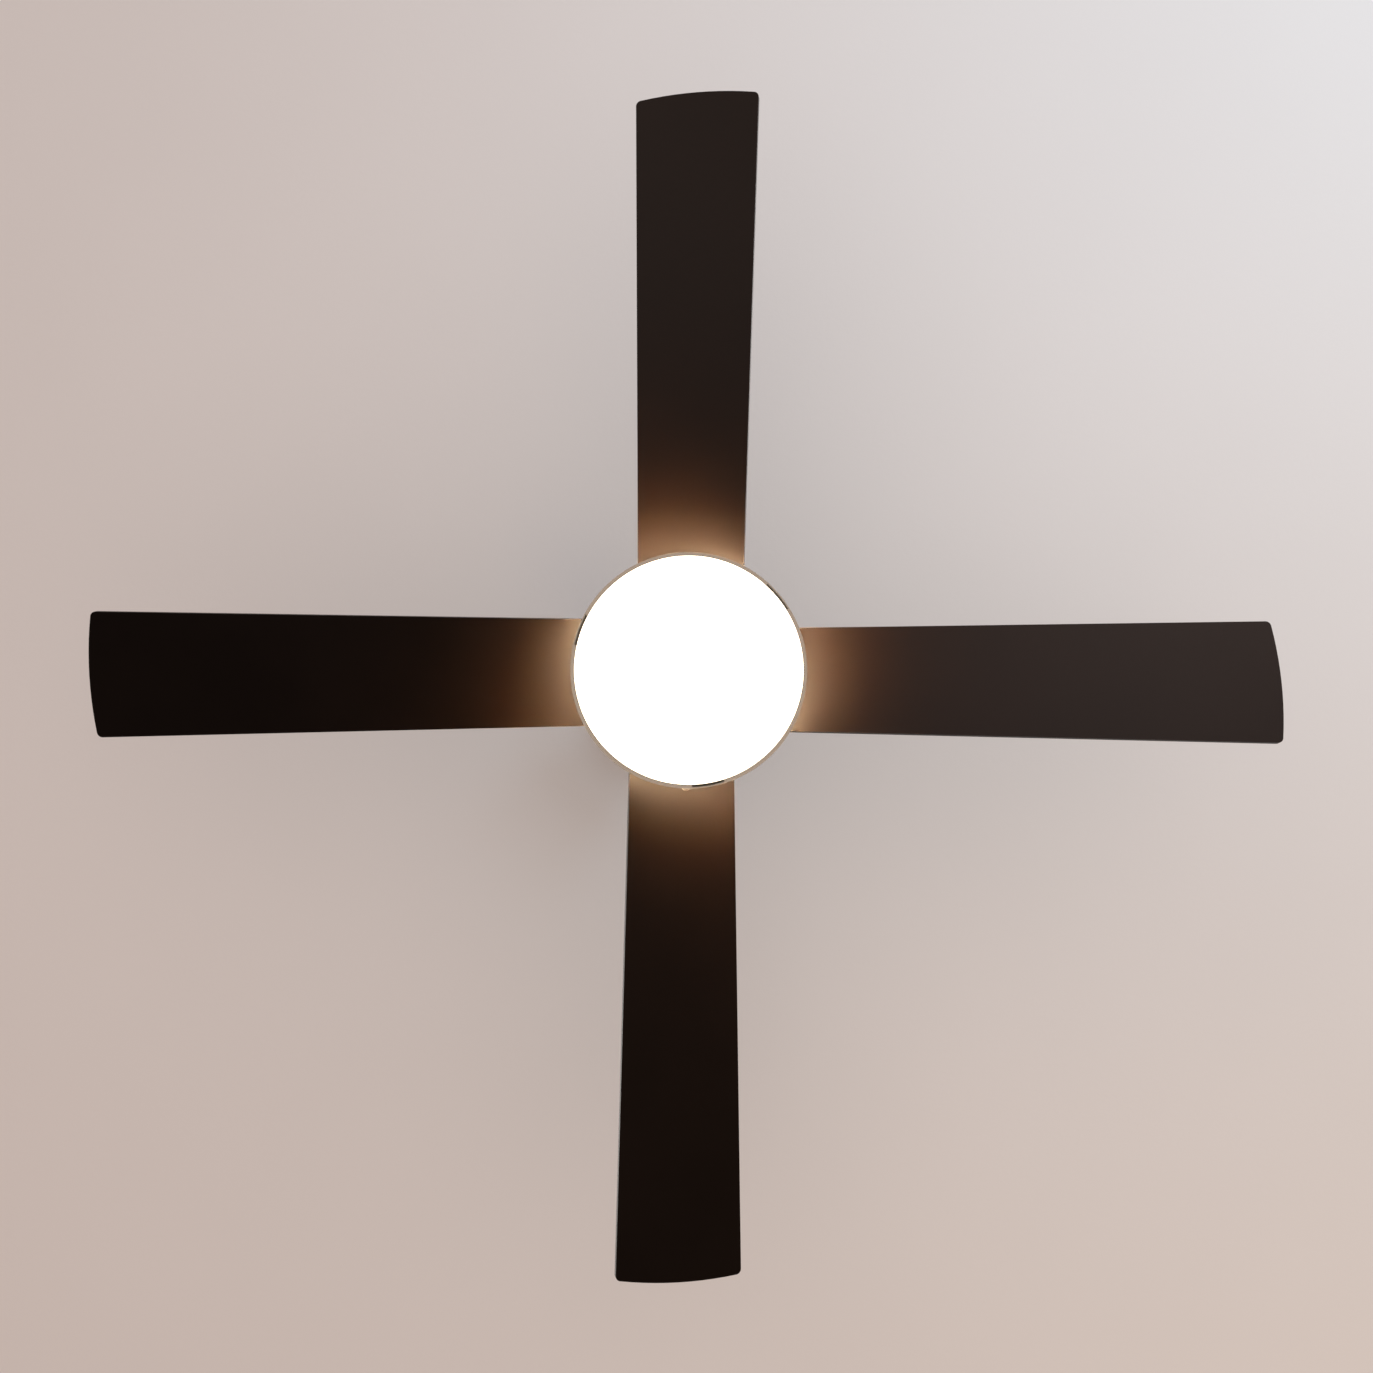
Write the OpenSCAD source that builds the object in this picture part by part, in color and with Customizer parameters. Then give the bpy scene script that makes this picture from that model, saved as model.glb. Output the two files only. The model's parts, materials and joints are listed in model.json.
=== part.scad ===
// Four-blade ceiling fan with a round light under the motor.
// Millimetres, +Z up. The origin is the centre of the bracket's top face, where it meets the ceiling.
// Blade 1 points along +X, and the others follow at quarter turns towards +Y.

/* [Ceiling bracket] */
// Thickness of the bracket's steel sheet
sheet_t = 2.5; // [2:0.1:3.2]
// Width of the bracket, along Y
bracket_w = 44; // [38:1:54]
// Distance between the middles of the two ceiling slots
slot_pitch = 96; // [82:1:116]
// Length of each ceiling slot, end to end
slot_len = 18; // [10:1:21]
// Width of each ceiling slot
slot_w = 5.5; // [4:0.1:6.5]
// Depth of the side tabs that the canopy screws go into
tab_h = 16; // [14:1:22]
// Width of the side tabs
tab_w = 18; // [12:1:22]
// Depth of the seat's upper edge below the middle of the ball
seat_top = 7; // [5:0.5:9]
// Depth of the seat's lower edge below the middle of the ball
seat_floor = 21; // [17.5:0.5:24]
// Thickness of the lug that stops the ball from turning
lug_t = 3; // [2.4:0.1:3.6]
// Thickness of the nylon liner between the seat and the ball
liner_t = 1.2; // [0.8:0.1:1.8]

/* [Canopy] */
// Outside diameter of the canopy
canopy_d = 148; // [124:1:180]
// Height of the canopy
canopy_h = 80; // [78:1:100]
// Radius of the canopy's lower edge
canopy_corner = 34; // [20:1:40]
// Thickness of the canopy's sheet
canopy_t = 1.2; // [0.8:0.1:1.6]
// Gap between the canopy's rim and the ceiling
canopy_gap = 1.5; // [1:0.1:3]

/* [Receiver] */
// Length of the receiver case, along Y
receiver_l = 90; // [70:1:108]
// Width of the receiver case
receiver_w = 50; // [36:1:60]
// Height of the receiver case
receiver_h = 20; // [16:0.5:24]
// Thickness of the receiver case's wall
receiver_t = 1.6; // [1.2:0.1:2.4]

/* [Ball and downrod] */
// Diameter of the hanger ball
ball_d = 50; // [42:0.5:60]
// Height of the ball's flat top above its middle
ball_flat = 14; // [12:0.5:16]
// Largest swing of the ball to either side, in degrees
swing_max = 15; // [5:1:18]
// Length of the downrod
rod_len = 165; // [130:1:600]
// Outside diameter of the downrod
rod_d = 21.3; // [17.8:0.1:26]
// Thickness of the downrod's wall
rod_t = 2.3; // [1.6:0.1:2.8]
// Height of the downrod's end above the ball's flat top
rod_rise = 4; // [3:0.5:6]
// Diameter of the cross pin and the clevis pin
pin_d = 6; // [5:0.1:6.5]

/* [Motor coupling] */
// Thickness of the coupling's wall
coupling_t = 4.5; // [4:0.1:6]
// Depth to which the downrod goes into the coupling
coupling_grip = 26; // [24:1:36]
// Diameter of the coupling's flange
flange_d = 72; // [60:1:84]
// Thickness of the coupling's flange
flange_t = 4; // [3:0.1:5]
// Height of the cone that covers the coupling
cone_h = 46; // [44:1:60]
// Diameter of that cone at its foot
cone_d = 84; // [70:1:102]

/* [Motor] */
// Gap between the rotor and the inside of the motor cover
cover_room = 16.5; // [5:0.5:34]
// Thickness of the motor cover's sheet
cover_t = 1.5; // [1:0.1:2]
// Radius of the motor cover's upper edge
cover_corner = 26; // [14:1:32]
// Distance from the motor cover's rim up to the rotor's underside
rotor_show = 3; // [2:0.5:8]
// Thickness of the rotor's side wall
rotor_wall = 7.4; // [6:0.1:9]
// Height of the rotor
rotor_h = 48; // [48:0.5:58]
// Thickness of the rotor's end walls
rotor_t = 3; // [2.5:0.1:3.6]
// Diameter of the hollow shaft
shaft_d = 17; // [16.4:0.1:20.4]
// Diameter of the wiring hole through the shaft
shaft_bore = 12.4; // [12.4:0.1:14]
// Outside diameter of the ball bearings
bearing_d = 40; // [34:0.5:48]
// Height of the ball bearings
bearing_h = 12; // [10:0.5:13]
// Diameter of the bearing balls
bearing_ball_d = 6.8; // [5.6:0.1:8.2]
// Outside diameter of the stator core
stator_d = 168; // [140:1:202]
// Height of the stator core
stator_h = 15; // [12:0.5:18]
// Width of each stator tooth
tooth_w = 8; // [6:0.5:9]
// Thickness of the wire wound on each tooth
coil_t = 3.4; // [2:0.1:4]
// Thickness of the magnets
magnet_t = 4.6; // [3:0.1:5.6]
// Air gap between the stator and the magnets
air_gap = 0.8; // [0.5:0.1:1.2]
// Thickness of the steel ring that carries the magnets
yoke_t = 3; // [2:0.1:3.6]

/* [Blades] */
// Diameter swept by the blade tips
sweep_d = 1320; // [1060:5:1600]
// Radius at which the blades begin
blade_root_r = 94; // [79:1:112]
// Chord of a blade at its root
chord_root = 119; // [96:1:140]
// Chord of a blade at its tip
chord_tip = 141.5; // [100:0.5:170]
// Offset of the chord's middle towards the lower edge
chord_offset = 3.9; // [-8:0.1:8]
// Thickness of a blade
blade_t = 6; // [4:0.1:8]
// Pitch of a blade, in degrees
blade_pitch = 14; // [6:0.5:17]
// Radius of the curved tip edge
tip_r = 450; // [300:5:900]
// Offset of the curved tip edge's middle from the blade's axis
tip_skew = -14; // [-30:1:30]
// Radius of the blade's tip corners
tip_corner = 6; // [2:0.5:20]
// Width of the flats on the blade's root corners
root_cut = 12; // [4:1:24]
// Height of the rotor's underside above the middle of the blades
blade_drop = 24; // [23:0.5:30]
// Turn of blade 1 from its quarter, as fitted, in degrees
yaw_1 = -0.6; // [-1:0.1:1]
// Turn of blade 2 from its quarter
yaw_2 = 0.5; // [-1:0.1:1]
// Turn of blade 3 from its quarter
yaw_3 = -0.1; // [-1:0.1:1]
// Turn of blade 4 from its quarter
yaw_4 = 0.1; // [-1:0.1:1]

/* [Blade holders] */
// Thickness of a blade holder
holder_t = 4; // [3:0.1:5]
// Length of a holder's pad, under the rotor
holder_pad_l = 42; // [36:1:44]
// Distance from a blade's root out to the holder's end
holder_reach = 36; // [32:1:56]
// Width of a holder under the rotor
holder_pad_w = 48; // [44:1:60]
// Width of a holder on the blade
holder_w = 74; // [62:1:88]
// Thread diameter of the blade and holder screws
blade_screw_d = 5; // [4:0.1:5.5]

/* [Light] */
// Outside diameter of the light pan
pan_d = 246; // [206:1:296]
// Height of the light pan
pan_h = 54; // [48:1:64]
// Distance from the middle of the blades down to the light pan's rim
light_drop = 85; // [80:1:102]
// Radius of the light pan's upper edge
pan_corner = 18; // [8:1:24]
// Thickness of the light pan's sheet
pan_t = 1.5; // [1:0.1:2]
// Diameter of the neck between the motor and the light
neck_d = 92; // [77:1:110]
// Thickness of the neck's wall
neck_t = 1.5; // [1.2:0.1:2]
// Width of the dark trim around the diffuser
trim_w = 3.7; // [3.4:0.1:5]
// Depth of the trim below the pan's rim
trim_h = 2; // [1.6:0.1:3]
// Thickness of the diffuser
lens_t = 2.2; // [1.6:0.1:3]
// Radius of the diffuser's rounded edge
lens_corner = 14; // [8:1:20]
// Radius of the diffuser's shallow dome
lens_dome_r = 420; // [300:10:900]
// Turn that frees the diffuser, in degrees
lens_turn = 20; // [18:1:26]
// Distance from the LED board's edge out to the light pan's side
board_inset = 20; // [16:1:34]
// Thickness of the tray behind the LED board
tray_t = 2; // [1.5:0.1:3]

/* [Hidden] */

$fn = 96;
ball_fn = 128;
big_fn = 180;

// Clearances. A moving gap parts two bodies, and a seat gap parts two fixed pieces.
moving_gap = 0.3;
bearing_gap = 0.05;
seat_gap = 0.1;
swing_gap = 1.2;
over = 1;

black = "#1b1512";
steel = "#b9bcc0";
zinc = "#8d9094";

// Screw sizes: radii of the shank and the head, and the head's height
m3 = [1.5, 2.9, 1.8];
m4 = [2, 4, 2.4];
m5 = [blade_screw_d / 2, blade_screw_d * 0.9, 3];
thread_gap = 0.05;
free_gap = 0.35;
screw_rest = 2;
washer_t = 1;
washer_r = m5[1] + 0.8;
hex_depth = 3;

// Ball, rod and seat
ball_r = ball_d / 2;
rod_r = rod_d / 2;
receiver_gap = 0.5;
receiver_top_z = -sheet_t - receiver_gap;
receiver_low_z = receiver_top_z - receiver_h;
lead_room = 10;
rod_top_z = receiver_low_z - lead_room;
ball_z = rod_top_z - rod_rise - ball_flat;
liner_r = ball_r + moving_gap;
seat_r = liner_r + liner_t + seat_gap;
seat_out_r = seat_r + sheet_t;
rod_swing_r = rod_r / cos(swing_max);
seat_hole_r = rod_swing_r + seat_floor * tan(swing_max) + swing_gap;
leg_x = seat_out_r + 2;
leg_out_x = leg_x + sheet_t;
entry_gap = 2;
entry_w = rod_d + 2 * entry_gap;
lug_depth = 4.5;
lug_in_x = ball_r - lug_depth;
lug_h = 6;
lug_end_room = 2.2;
lug_side_room = 0.75;
groove_x = lug_in_x - lug_end_room;
groove_w = lug_t + 2 * lug_side_room;
pin_r = pin_d / 2;
cross_pin_in = 7;
cross_pin_l = ball_d - 2 * cross_pin_in;
cross_pin_depth = 1;
cross_pin_z = ball_z + ball_flat - pin_r - cross_pin_depth;

// Canopy
canopy_r = canopy_d / 2;
canopy_top_z = -canopy_gap;
canopy_low_z = canopy_top_z - canopy_h;
canopy_hole_r = rod_swing_r + (ball_z - canopy_low_z) * tan(swing_max) + swing_gap;
canopy_screw_z = -sheet_t - tab_h / 2;
tab_gap = 0.4;
bracket_end_r = canopy_r - canopy_t - tab_gap;
tab_out_x = sqrt(pow(bracket_end_r, 2) - pow(tab_w / 2, 2));

// Wiring
wire_r = 1.4;
wire_gap = 0.2;
wire_off = pin_r + wire_r + wire_gap;
lead_bend = 5;
loom_bend = 9;
lead_rise = 1;
lead_end_room = 8;
lead_run_z = rod_top_z + lead_rise + lead_bend;
lead_far_y = -receiver_l / 2 - lead_end_room;
receiver_mid_z = receiver_top_z - receiver_h / 2;
earth_drop = 6;
earth_z = receiver_low_z - earth_drop;
terminal_l = 32;
terminal_w = 14;
terminal_h = 13;
terminal_ways = 3;

// Coupling
rod_low_z = rod_top_z - rod_len;
coupling_top_z = rod_low_z + coupling_grip;
coupling_r = rod_r + seat_gap + coupling_t;
coupling_web = 3;
coupling_body_h = 14;
flange_top_z = rod_low_z - coupling_body_h;
flange_low_z = flange_top_z - flange_t;
clevis_z = rod_low_z + coupling_grip / 2;
clevis_head = 2.5;
clevis_tail = 7;
clip_r = 0.9;
clip_back = 3.2;
clip_l = 20;
cover_screw_in = 7;
cover_screw_r = flange_d / 2 - cover_screw_in;
cover_screw_count = 4;
cone_top_z = flange_top_z + cover_t + cone_h;
cone_low_z = flange_top_z + cover_t + seat_gap;
cone_t = 1.4;

// Motor
cover_top_z = flange_top_z + cover_t;
rotor_gap = 3.5;
rotor_top_z = flange_low_z - rotor_gap;
rotor_low_z = rotor_top_z - rotor_h;
rotor_mid_z = rotor_top_z - rotor_h / 2;
cover_low_z = rotor_low_z + rotor_show;
shaft_r = shaft_d / 2;
shaft_top_z = rod_low_z - coupling_web;
bearing_r = bearing_d / 2;
bearing_lip = 2.5;
bearing_pitch_r = (shaft_r + seat_gap + bearing_r) / 2;
bearing_ball_r = bearing_ball_d / 2;
race_shoulder = 0.6 * bearing_ball_r;
bearing_ball_count = 8;
bearing_zs = [rotor_top_z - bearing_lip - bearing_h / 2, rotor_low_z + bearing_lip + bearing_h / 2];
bearing_hub_t = 4.5;
circlip_t = 1.2;
circlip_w = 2.6;
circlip_r = shaft_r + circlip_w;
circlip_groove = 0.6;
circlip_mouth = 4;
hub_r = bearing_r + bearing_hub_t;
stator_r = stator_d / 2;
shoe_t = 6;
tooth_count = 12;
tooth_ring_t = 8;
slot_mouth = 4;
coil_h = 4.5;
magnet_r = stator_r + air_gap;
yoke_in_r = magnet_r + magnet_t + seat_gap;
yoke_out_r = yoke_in_r + yoke_t;
rotor_in_r = yoke_out_r + seat_gap;
rotor_r = rotor_in_r + rotor_wall;
cover_r = rotor_r + cover_room + cover_t;
magnet_count = 20;
magnet_beyond = 3;
magnet_h = stator_h + 2 * magnet_beyond;
magnet_split = 1.5;
yoke_h = magnet_h + 2;
rotor_screw_count = 8;
rotor_screw_r = (rotor_in_r + rotor_r) / 2;
sensor_t = 1.6;
sensor_gap = 1.2;
sensor_in = 4;
sensor_z = rotor_mid_z + stator_h / 2 + coil_h + sensor_gap;
vent_count = 20;
vent_w = 4;
vent_in_r = cone_d / 2 + 12;
vent_out_r = cover_r - cover_corner - 6;

// Blades and holders
blade_count = 4;
yaws = [yaw_1, yaw_2, yaw_3, yaw_4];
blade_z = rotor_low_z - blade_drop;
tip_u = sweep_d / 2;
tip_mid = [tip_u - tip_r, tip_skew];
// The tip corner's rounding is this much larger, so that it crosses the edges it meets
corner_over = 0.003;
pad_end_r = blade_root_r + 4;
holder_in_r = pad_end_r - holder_pad_l;
grip_r = pad_end_r + 4;
holder_out_r = blade_root_r + holder_reach;
web_l = 6;
pad_screw_r = pad_end_r - 24;
pad_screw_y = holder_pad_w / 2 - 9;
boss_r = 6;
boss_h = 5;
boss_floor = 1;
pad_screws = [[pad_screw_r, pad_screw_y], [pad_screw_r, -pad_screw_y]];
grip_inset = 8;
grip_screw_v = holder_w / 2 - 13;
blade_screw_places = [
    [grip_r + grip_inset, grip_screw_v],
    [grip_r + grip_inset, -grip_screw_v],
    [holder_out_r - grip_inset, 0]
];

// Light
neck_r = neck_d / 2;
neck_top_z = rotor_low_z - holder_t - 1;
pan_r = pan_d / 2;
pan_low_z = blade_z - light_drop;
pan_top_z = pan_low_z + pan_h;
neck_flange_w = 14;
neck_mouth_r = neck_r - neck_flange_w;
pan_screw_r = neck_r - neck_flange_w / 2;
pan_screw_turn = 30;
plate_t = 2.5;
plate_z = pan_top_z + 24;
plate_r = neck_r - neck_t - seat_gap;
plate_tab_w = 12;
plate_tab_h = 10;
plate_tab_x = sqrt(pow(plate_r, 2) - pow(plate_tab_w / 2, 2)) - seat_gap;
neck_screw_z = plate_z - plate_t - plate_tab_h / 2;
nut_h = 7;
nut_r = shaft_r + 5.5;
shaft_low_z = plate_z - plate_t - nut_h - 2;
tray_z = pan_low_z + 24;
board_r = pan_r - board_inset;
tray_r = board_r + 6;
tray_hole_r = 14;
tray_rim_h = 5;
board_t = 1.6;
screw_head_room = 1;
board_z = tray_z - tray_t - seat_gap;
standoff_r = 5;
standoff_at = tray_r - 8;
standoff_turn = 30;
tray_screw_l = 8;
chip_w = 3;
chip_h = 0.8;
chip_rings = [[board_r - 12, 24], [board_r - 36, 16], [board_r - 62, 8]];
chip_turn = 7.5;
driver_l = 92;
driver_w = 40;
driver_h = 20;
driver_y = 28;
driver_foot_l = 8;
driver_foot_w = 16;
driver_foot_t = 3;
driver_z = pan_top_z - pan_t - 1;
loom_low_z = driver_z - driver_h / 2;

// Trim and diffuser
trim_in_r = pan_r - trim_w;
trim_seat_h = 4;
trim_seat_r = pan_r - pan_t - seat_gap;
lens_gap = 0.4;
lens_r = trim_in_r - lens_gap;
lug_reach = trim_seat_r - lens_gap;
lug_count = 3;
lug_angle = 12;
lug_z = pan_low_z + trim_seat_h + moving_gap;
lens_lug_h = 2.5;
notch_angle = lug_angle + 4;
stop_angle = 3;
stop_gap_angle = 0.4;
lens_top_z = lug_z + lens_lug_h;
lens_proud = 1;
lens_edge_z = pan_low_z - trim_h - lens_proud;
lens_mid = [lens_r - lens_corner, lens_edge_z];
dome_rise = sqrt(pow(lens_dome_r - lens_corner, 2) - pow(lens_r - lens_corner, 2));
dome_z = lens_edge_z + dome_rise;

// ---- Shared shapes ----

// A straight ring, or a disc where the inner radius is 0
module ring(outer, inner, low, high) {
    translate([0, 0, low])
        difference() {
            cylinder(r = outer, h = high - low);
            if (inner > 0)
                translate([0, 0, -over])
                    cylinder(r = inner, h = high - low + 2 * over);
        }
}

// Turns a child into count copies around Z
module around(count, start = 0) {
    for (i = [0 : count - 1])
        rotate([0, 0, start + i * 360 / count])
            children();
}

// Half profile of a drum whose lower edge is rounded
module low_drum(r, high, low, corner) {
    translate([0, low + corner])
        square([r, high - low - corner]);
    translate([0, low])
        square([r - corner, corner]);
    intersection() {
        translate([r - corner, low + corner])
            circle(r = corner);
        translate([r - corner, low])
            square([corner, corner]);
    }
}

// Half profile of a drum whose upper edge is rounded
module high_drum(r, high, low, corner) {
    translate([0, high + low])
        mirror([0, 1])
            low_drum(r, high, low, corner);
}

// A screw along +Z with its head's seat at z = 0 and a cross recess in the head
module screw(size, length) {
    difference() {
        union() {
            translate([0, 0, -length])
                cylinder(r = size[0], h = length);
            cylinder(r = size[1], h = size[2]);
        }
        for (turn = [0, 90])
            rotate([0, 0, turn])
                translate([-size[1] * 0.6, -size[0] * 0.2, size[2] * 0.45])
                    cube([size[1] * 1.2, size[0] * 0.4, size[2]]);
    }
}

// The same screw pointing up, as it is driven from below
module screw_from_below(size, length) {
    mirror([0, 0, 1])
        screw(size, length);
}

// A quarter bend of wire in the XZ plane, from the origin up and over towards +X
module bend(radius) {
    translate([radius, 0, 0])
        mirror([1, 0, 0])
            rotate([90, 0, 0])
                rotate_extrude(angle = 90)
                    translate([radius, 0])
                        circle(r = wire_r, $fn = 32);
}

// Puts a child at blade number i
module at_blade(i) {
    rotate([0, 0, (i - 1) * 360 / blade_count + yaws[i - 1]])
        children();
}

// Puts a child in the pitched plane of a blade that lies along +X
module pitched() {
    translate([0, 0, blade_z])
        rotate([-blade_pitch, 0, 0])
            children();
}

// ---- Ceiling bracket and canopy ----

module ceiling_slot() {
    for (side = [-1, 1])
        translate([side * (slot_len - slot_w) / 2, 0, -sheet_t - over])
            cylinder(d = slot_w, h = sheet_t + 2 * over);
    translate([-(slot_len - slot_w) / 2, -slot_w / 2, -sheet_t - over])
        cube([slot_len - slot_w, slot_w, sheet_t + 2 * over]);
}

// A zone of a hollow ball, open below for the downrod and cut off at its upper edge
module seat_cup(inner, outer) {
    rotate_extrude()
        intersection() {
            difference() {
                translate([0, ball_z])
                    circle(r = outer, $fn = ball_fn);
                translate([0, ball_z])
                    circle(r = inner, $fn = ball_fn);
            }
            translate([seat_hole_r, ball_z - seat_floor - sheet_t])
                square([outer, seat_floor + sheet_t - seat_top]);
        }
}

module rod_entry() {
    translate([-entry_w / 2, 0, ball_z - ball_d])
        cube([entry_w, ball_d, ball_d]);
}

module hanger_bracket() {
    corner_x = sqrt(pow(bracket_end_r, 2) - pow(bracket_w / 2, 2));
    color(zinc)
        difference() {
            union() {
                translate([0, 0, -sheet_t])
                    linear_extrude(height = sheet_t)
                        for (side = [-1, 1])
                            polygon([
                                [0, -bracket_w / 2], [side * corner_x, -bracket_w / 2],
                                [side * tab_out_x, -tab_w / 2], [side * tab_out_x, tab_w / 2],
                                [side * corner_x, bracket_w / 2], [0, bracket_w / 2]
                            ]);
                for (side = [-1, 1]) {
                    translate([side * (tab_out_x - sheet_t / 2), 0, -tab_h / 2 - sheet_t / 2])
                        cube([sheet_t, tab_w, tab_h + sheet_t], center = true);
                    translate([side * (leg_x + sheet_t / 2), 0, (ball_z - seat_top - sheet_t) / 2])
                        cube([sheet_t, bracket_w, -ball_z + seat_top + sheet_t], center = true);
                }
                difference() {
                    translate([-leg_out_x, -bracket_w / 2, ball_z - seat_top - sheet_t])
                        cube([2 * leg_out_x, bracket_w, sheet_t]);
                    translate([0, 0, ball_z])
                        sphere(r = (seat_r + seat_out_r) / 2, $fn = ball_fn);
                }
                seat_cup(seat_r, seat_out_r);
                translate([lug_in_x, -lug_t / 2, ball_z - lug_h / 2])
                    cube([leg_x - lug_in_x + over, lug_t, lug_h]);
            }
            rod_entry();
            for (side = [-1, 1]) {
                translate([side * slot_pitch / 2, 0, 0])
                    ceiling_slot();
                translate([side * tab_out_x, 0, canopy_screw_z])
                    rotate([0, 90, 0])
                        cylinder(r = m4[0] + thread_gap, h = 4 * sheet_t, center = true);
            }
            translate([-leg_out_x, 0, earth_z])
                rotate([0, 90, 0])
                    cylinder(r = m4[0] + thread_gap, h = 4 * sheet_t, center = true);
        }
}

module ball_liner() {
    color("#e8e4d8")
        difference() {
            seat_cup(liner_r, liner_r + liner_t);
            rod_entry();
        }
}

module earth_screw() {
    color("#5f9a4a")
        translate([-leg_out_x - washer_t, 0, earth_z])
            rotate([0, -90, 0])
                screw(m4, sheet_t + washer_t + 2 * screw_rest);
    color("#c9a24a")
        translate([-leg_out_x - washer_t, 0, earth_z])
            rotate([0, 90, 0])
                difference() {
                    cylinder(r = washer_r, h = washer_t - seat_gap);
                    translate([0, 0, -over])
                        cylinder(r = m4[0] + thread_gap, h = washer_t + 2 * over);
                }
}

module canopy() {
    color(black)
        difference() {
            rotate_extrude($fn = big_fn)
                difference() {
                    low_drum(canopy_r, canopy_top_z, canopy_low_z, canopy_corner);
                    low_drum(canopy_r - canopy_t, canopy_top_z + over, canopy_low_z + canopy_t,
                             canopy_corner - canopy_t);
                    translate([0, canopy_low_z - over])
                        square([canopy_hole_r, 2 * over + canopy_t]);
                }
            rotate([0, 90, 0])
                translate([-canopy_screw_z, 0, 0])
                    cylinder(r = m4[0] + free_gap, h = 2 * canopy_d, center = true);
        }
}

module canopy_screws() {
    color(black)
        for (turn = [0, 180])
            rotate([0, 0, turn])
                translate([canopy_r, 0, canopy_screw_z])
                    rotate([0, 90, 0])
                        screw(m4, canopy_r - tab_out_x + sheet_t + screw_rest);
}

module receiver_case() {
    color("#24211f")
        difference() {
            translate([-receiver_w / 2, -receiver_l / 2, receiver_low_z])
                cube([receiver_w, receiver_l, receiver_h]);
            translate([-receiver_w / 2, -receiver_l / 2, receiver_low_z] + receiver_t * [1, 1, 1])
                cube([receiver_w, receiver_l, receiver_h] - 2 * receiver_t * [1, 1, 1]);
            for (side = [-1, 1])
                translate([side * wire_off, -receiver_l / 2 - over, receiver_mid_z])
                    rotate([-90, 0, 0])
                        cylinder(r = wire_r + free_gap, h = receiver_t + 2 * over);
        }
}

module receiver_board() {
    board_in = receiver_t + 2;
    board_low_z = receiver_low_z + board_in;
    part_h = receiver_h * 0.4;
    color("#2f6b3c")
        translate([-receiver_w / 2 + board_in, -receiver_l / 2 + board_in, board_low_z])
            cube([receiver_w - 2 * board_in, receiver_l - 2 * board_in, board_t]);
    color("#30343a")
        for (part = [[-8, -16, 16, 18], [6, 14, 20, 14], [-14, 20, 12, 16]])
            translate([part[0] - part[2] / 2, part[1] - part[3] / 2, board_low_z + board_t])
                cube([part[2], part[3], part_h]);
}

module terminal_block() {
    way = terminal_l / terminal_ways;
    wire_hole_r = 2.2;
    wire_hole_l = 4;
    screw_hole_r = 2;
    screw_hole_h = 5;
    split_w = 1;
    split_h = 3;
    color("#ded9cc")
        translate([leg_out_x + seat_gap, -terminal_l / 2, receiver_low_z - terminal_h])
            difference() {
                cube([terminal_w, terminal_l, terminal_h]);
                for (i = [0 : terminal_ways - 1]) {
                    translate([terminal_w - wire_hole_l, way * (i + 0.5), terminal_h / 2])
                        rotate([0, 90, 0])
                            cylinder(r = wire_hole_r, h = wire_hole_l + over);
                    translate([terminal_w / 2, way * (i + 0.5), terminal_h - screw_hole_h])
                        cylinder(r = screw_hole_r, h = screw_hole_h + over);
                    if (i > 0)
                        translate([-over, way * i - split_w / 2, terminal_h - split_h])
                            cube([terminal_w + 2 * over, split_w, split_h + over]);
                }
            }
}

// Two wires from the downrod's end, over to the end of the receiver case and into it
module fan_lead() {
    low_z = rod_top_z + seat_gap;
    case_y = -receiver_l / 2 + receiver_t;
    color("#d8d4cc")
        for (side = [-1, 1])
            translate([side * wire_off, 0, 0]) {
                translate([0, 0, low_z])
                    cylinder(r = wire_r, h = lead_run_z - lead_bend - low_z, $fn = 32);
                translate([0, 0, lead_run_z - lead_bend])
                    rotate([0, 0, -90])
                        bend(lead_bend);
                translate([0, -lead_bend, lead_run_z])
                    rotate([90, 0, 0])
                        cylinder(r = wire_r, h = -lead_far_y - 2 * lead_bend, $fn = 32);
                translate([0, lead_far_y, lead_run_z + lead_bend])
                    rotate([0, 0, 90])
                        mirror([0, 0, 1])
                            bend(lead_bend);
                translate([0, lead_far_y, lead_run_z + lead_bend])
                    cylinder(r = wire_r, h = receiver_mid_z - lead_run_z - 2 * lead_bend, $fn = 32);
                translate([0, lead_far_y, receiver_mid_z - lead_bend])
                    rotate([0, 0, 90])
                        bend(lead_bend);
                translate([0, lead_far_y + lead_bend, receiver_mid_z])
                    rotate([-90, 0, 0])
                        cylinder(r = wire_r, h = case_y - lead_far_y - lead_bend, $fn = 32);
            }
}

// ---- Hanger ball, downrod and coupling ----

module hanger_ball() {
    color("#2a2725")
        difference() {
            intersection() {
                translate([0, 0, ball_z])
                    sphere(r = ball_r, $fn = ball_fn);
                ring(ball_d, 0, ball_z - seat_floor, ball_z + ball_flat);
            }
            ring(rod_r + seat_gap, 0, ball_z - ball_d, ball_z + ball_d);
            translate([groove_x, -groove_w / 2, ball_z - ball_d])
                cube([ball_d, groove_w, 2 * ball_d]);
            translate([0, 0, cross_pin_z])
                rotate([90, 0, 0])
                    cylinder(r = pin_r + seat_gap, h = 2 * ball_d, center = true);
            translate([-pin_r - seat_gap, -ball_d, cross_pin_z])
                cube([2 * (pin_r + seat_gap), 2 * ball_d, ball_d]);
            translate([-ball_d, 0, ball_z])
                rotate([0, 90, 0])
                    cylinder(r = m4[0] + thread_gap, h = ball_d);
        }
}

module cross_pin() {
    color(steel)
        translate([0, 0, cross_pin_z])
            rotate([90, 0, 0])
                cylinder(r = pin_r, h = cross_pin_l, center = true);
}

module ball_set_screw() {
    length = ball_r - rod_r - 3;
    hex_r = 1.1;
    color("#3a3a3c")
        translate([-rod_r - seat_gap, 0, ball_z])
            rotate([0, -90, 0])
                difference() {
                    cylinder(r = m4[0], h = length);
                    translate([0, 0, length - hex_depth])
                        cylinder(r = hex_r, h = hex_depth + over, $fn = 6);
                }
}

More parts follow.
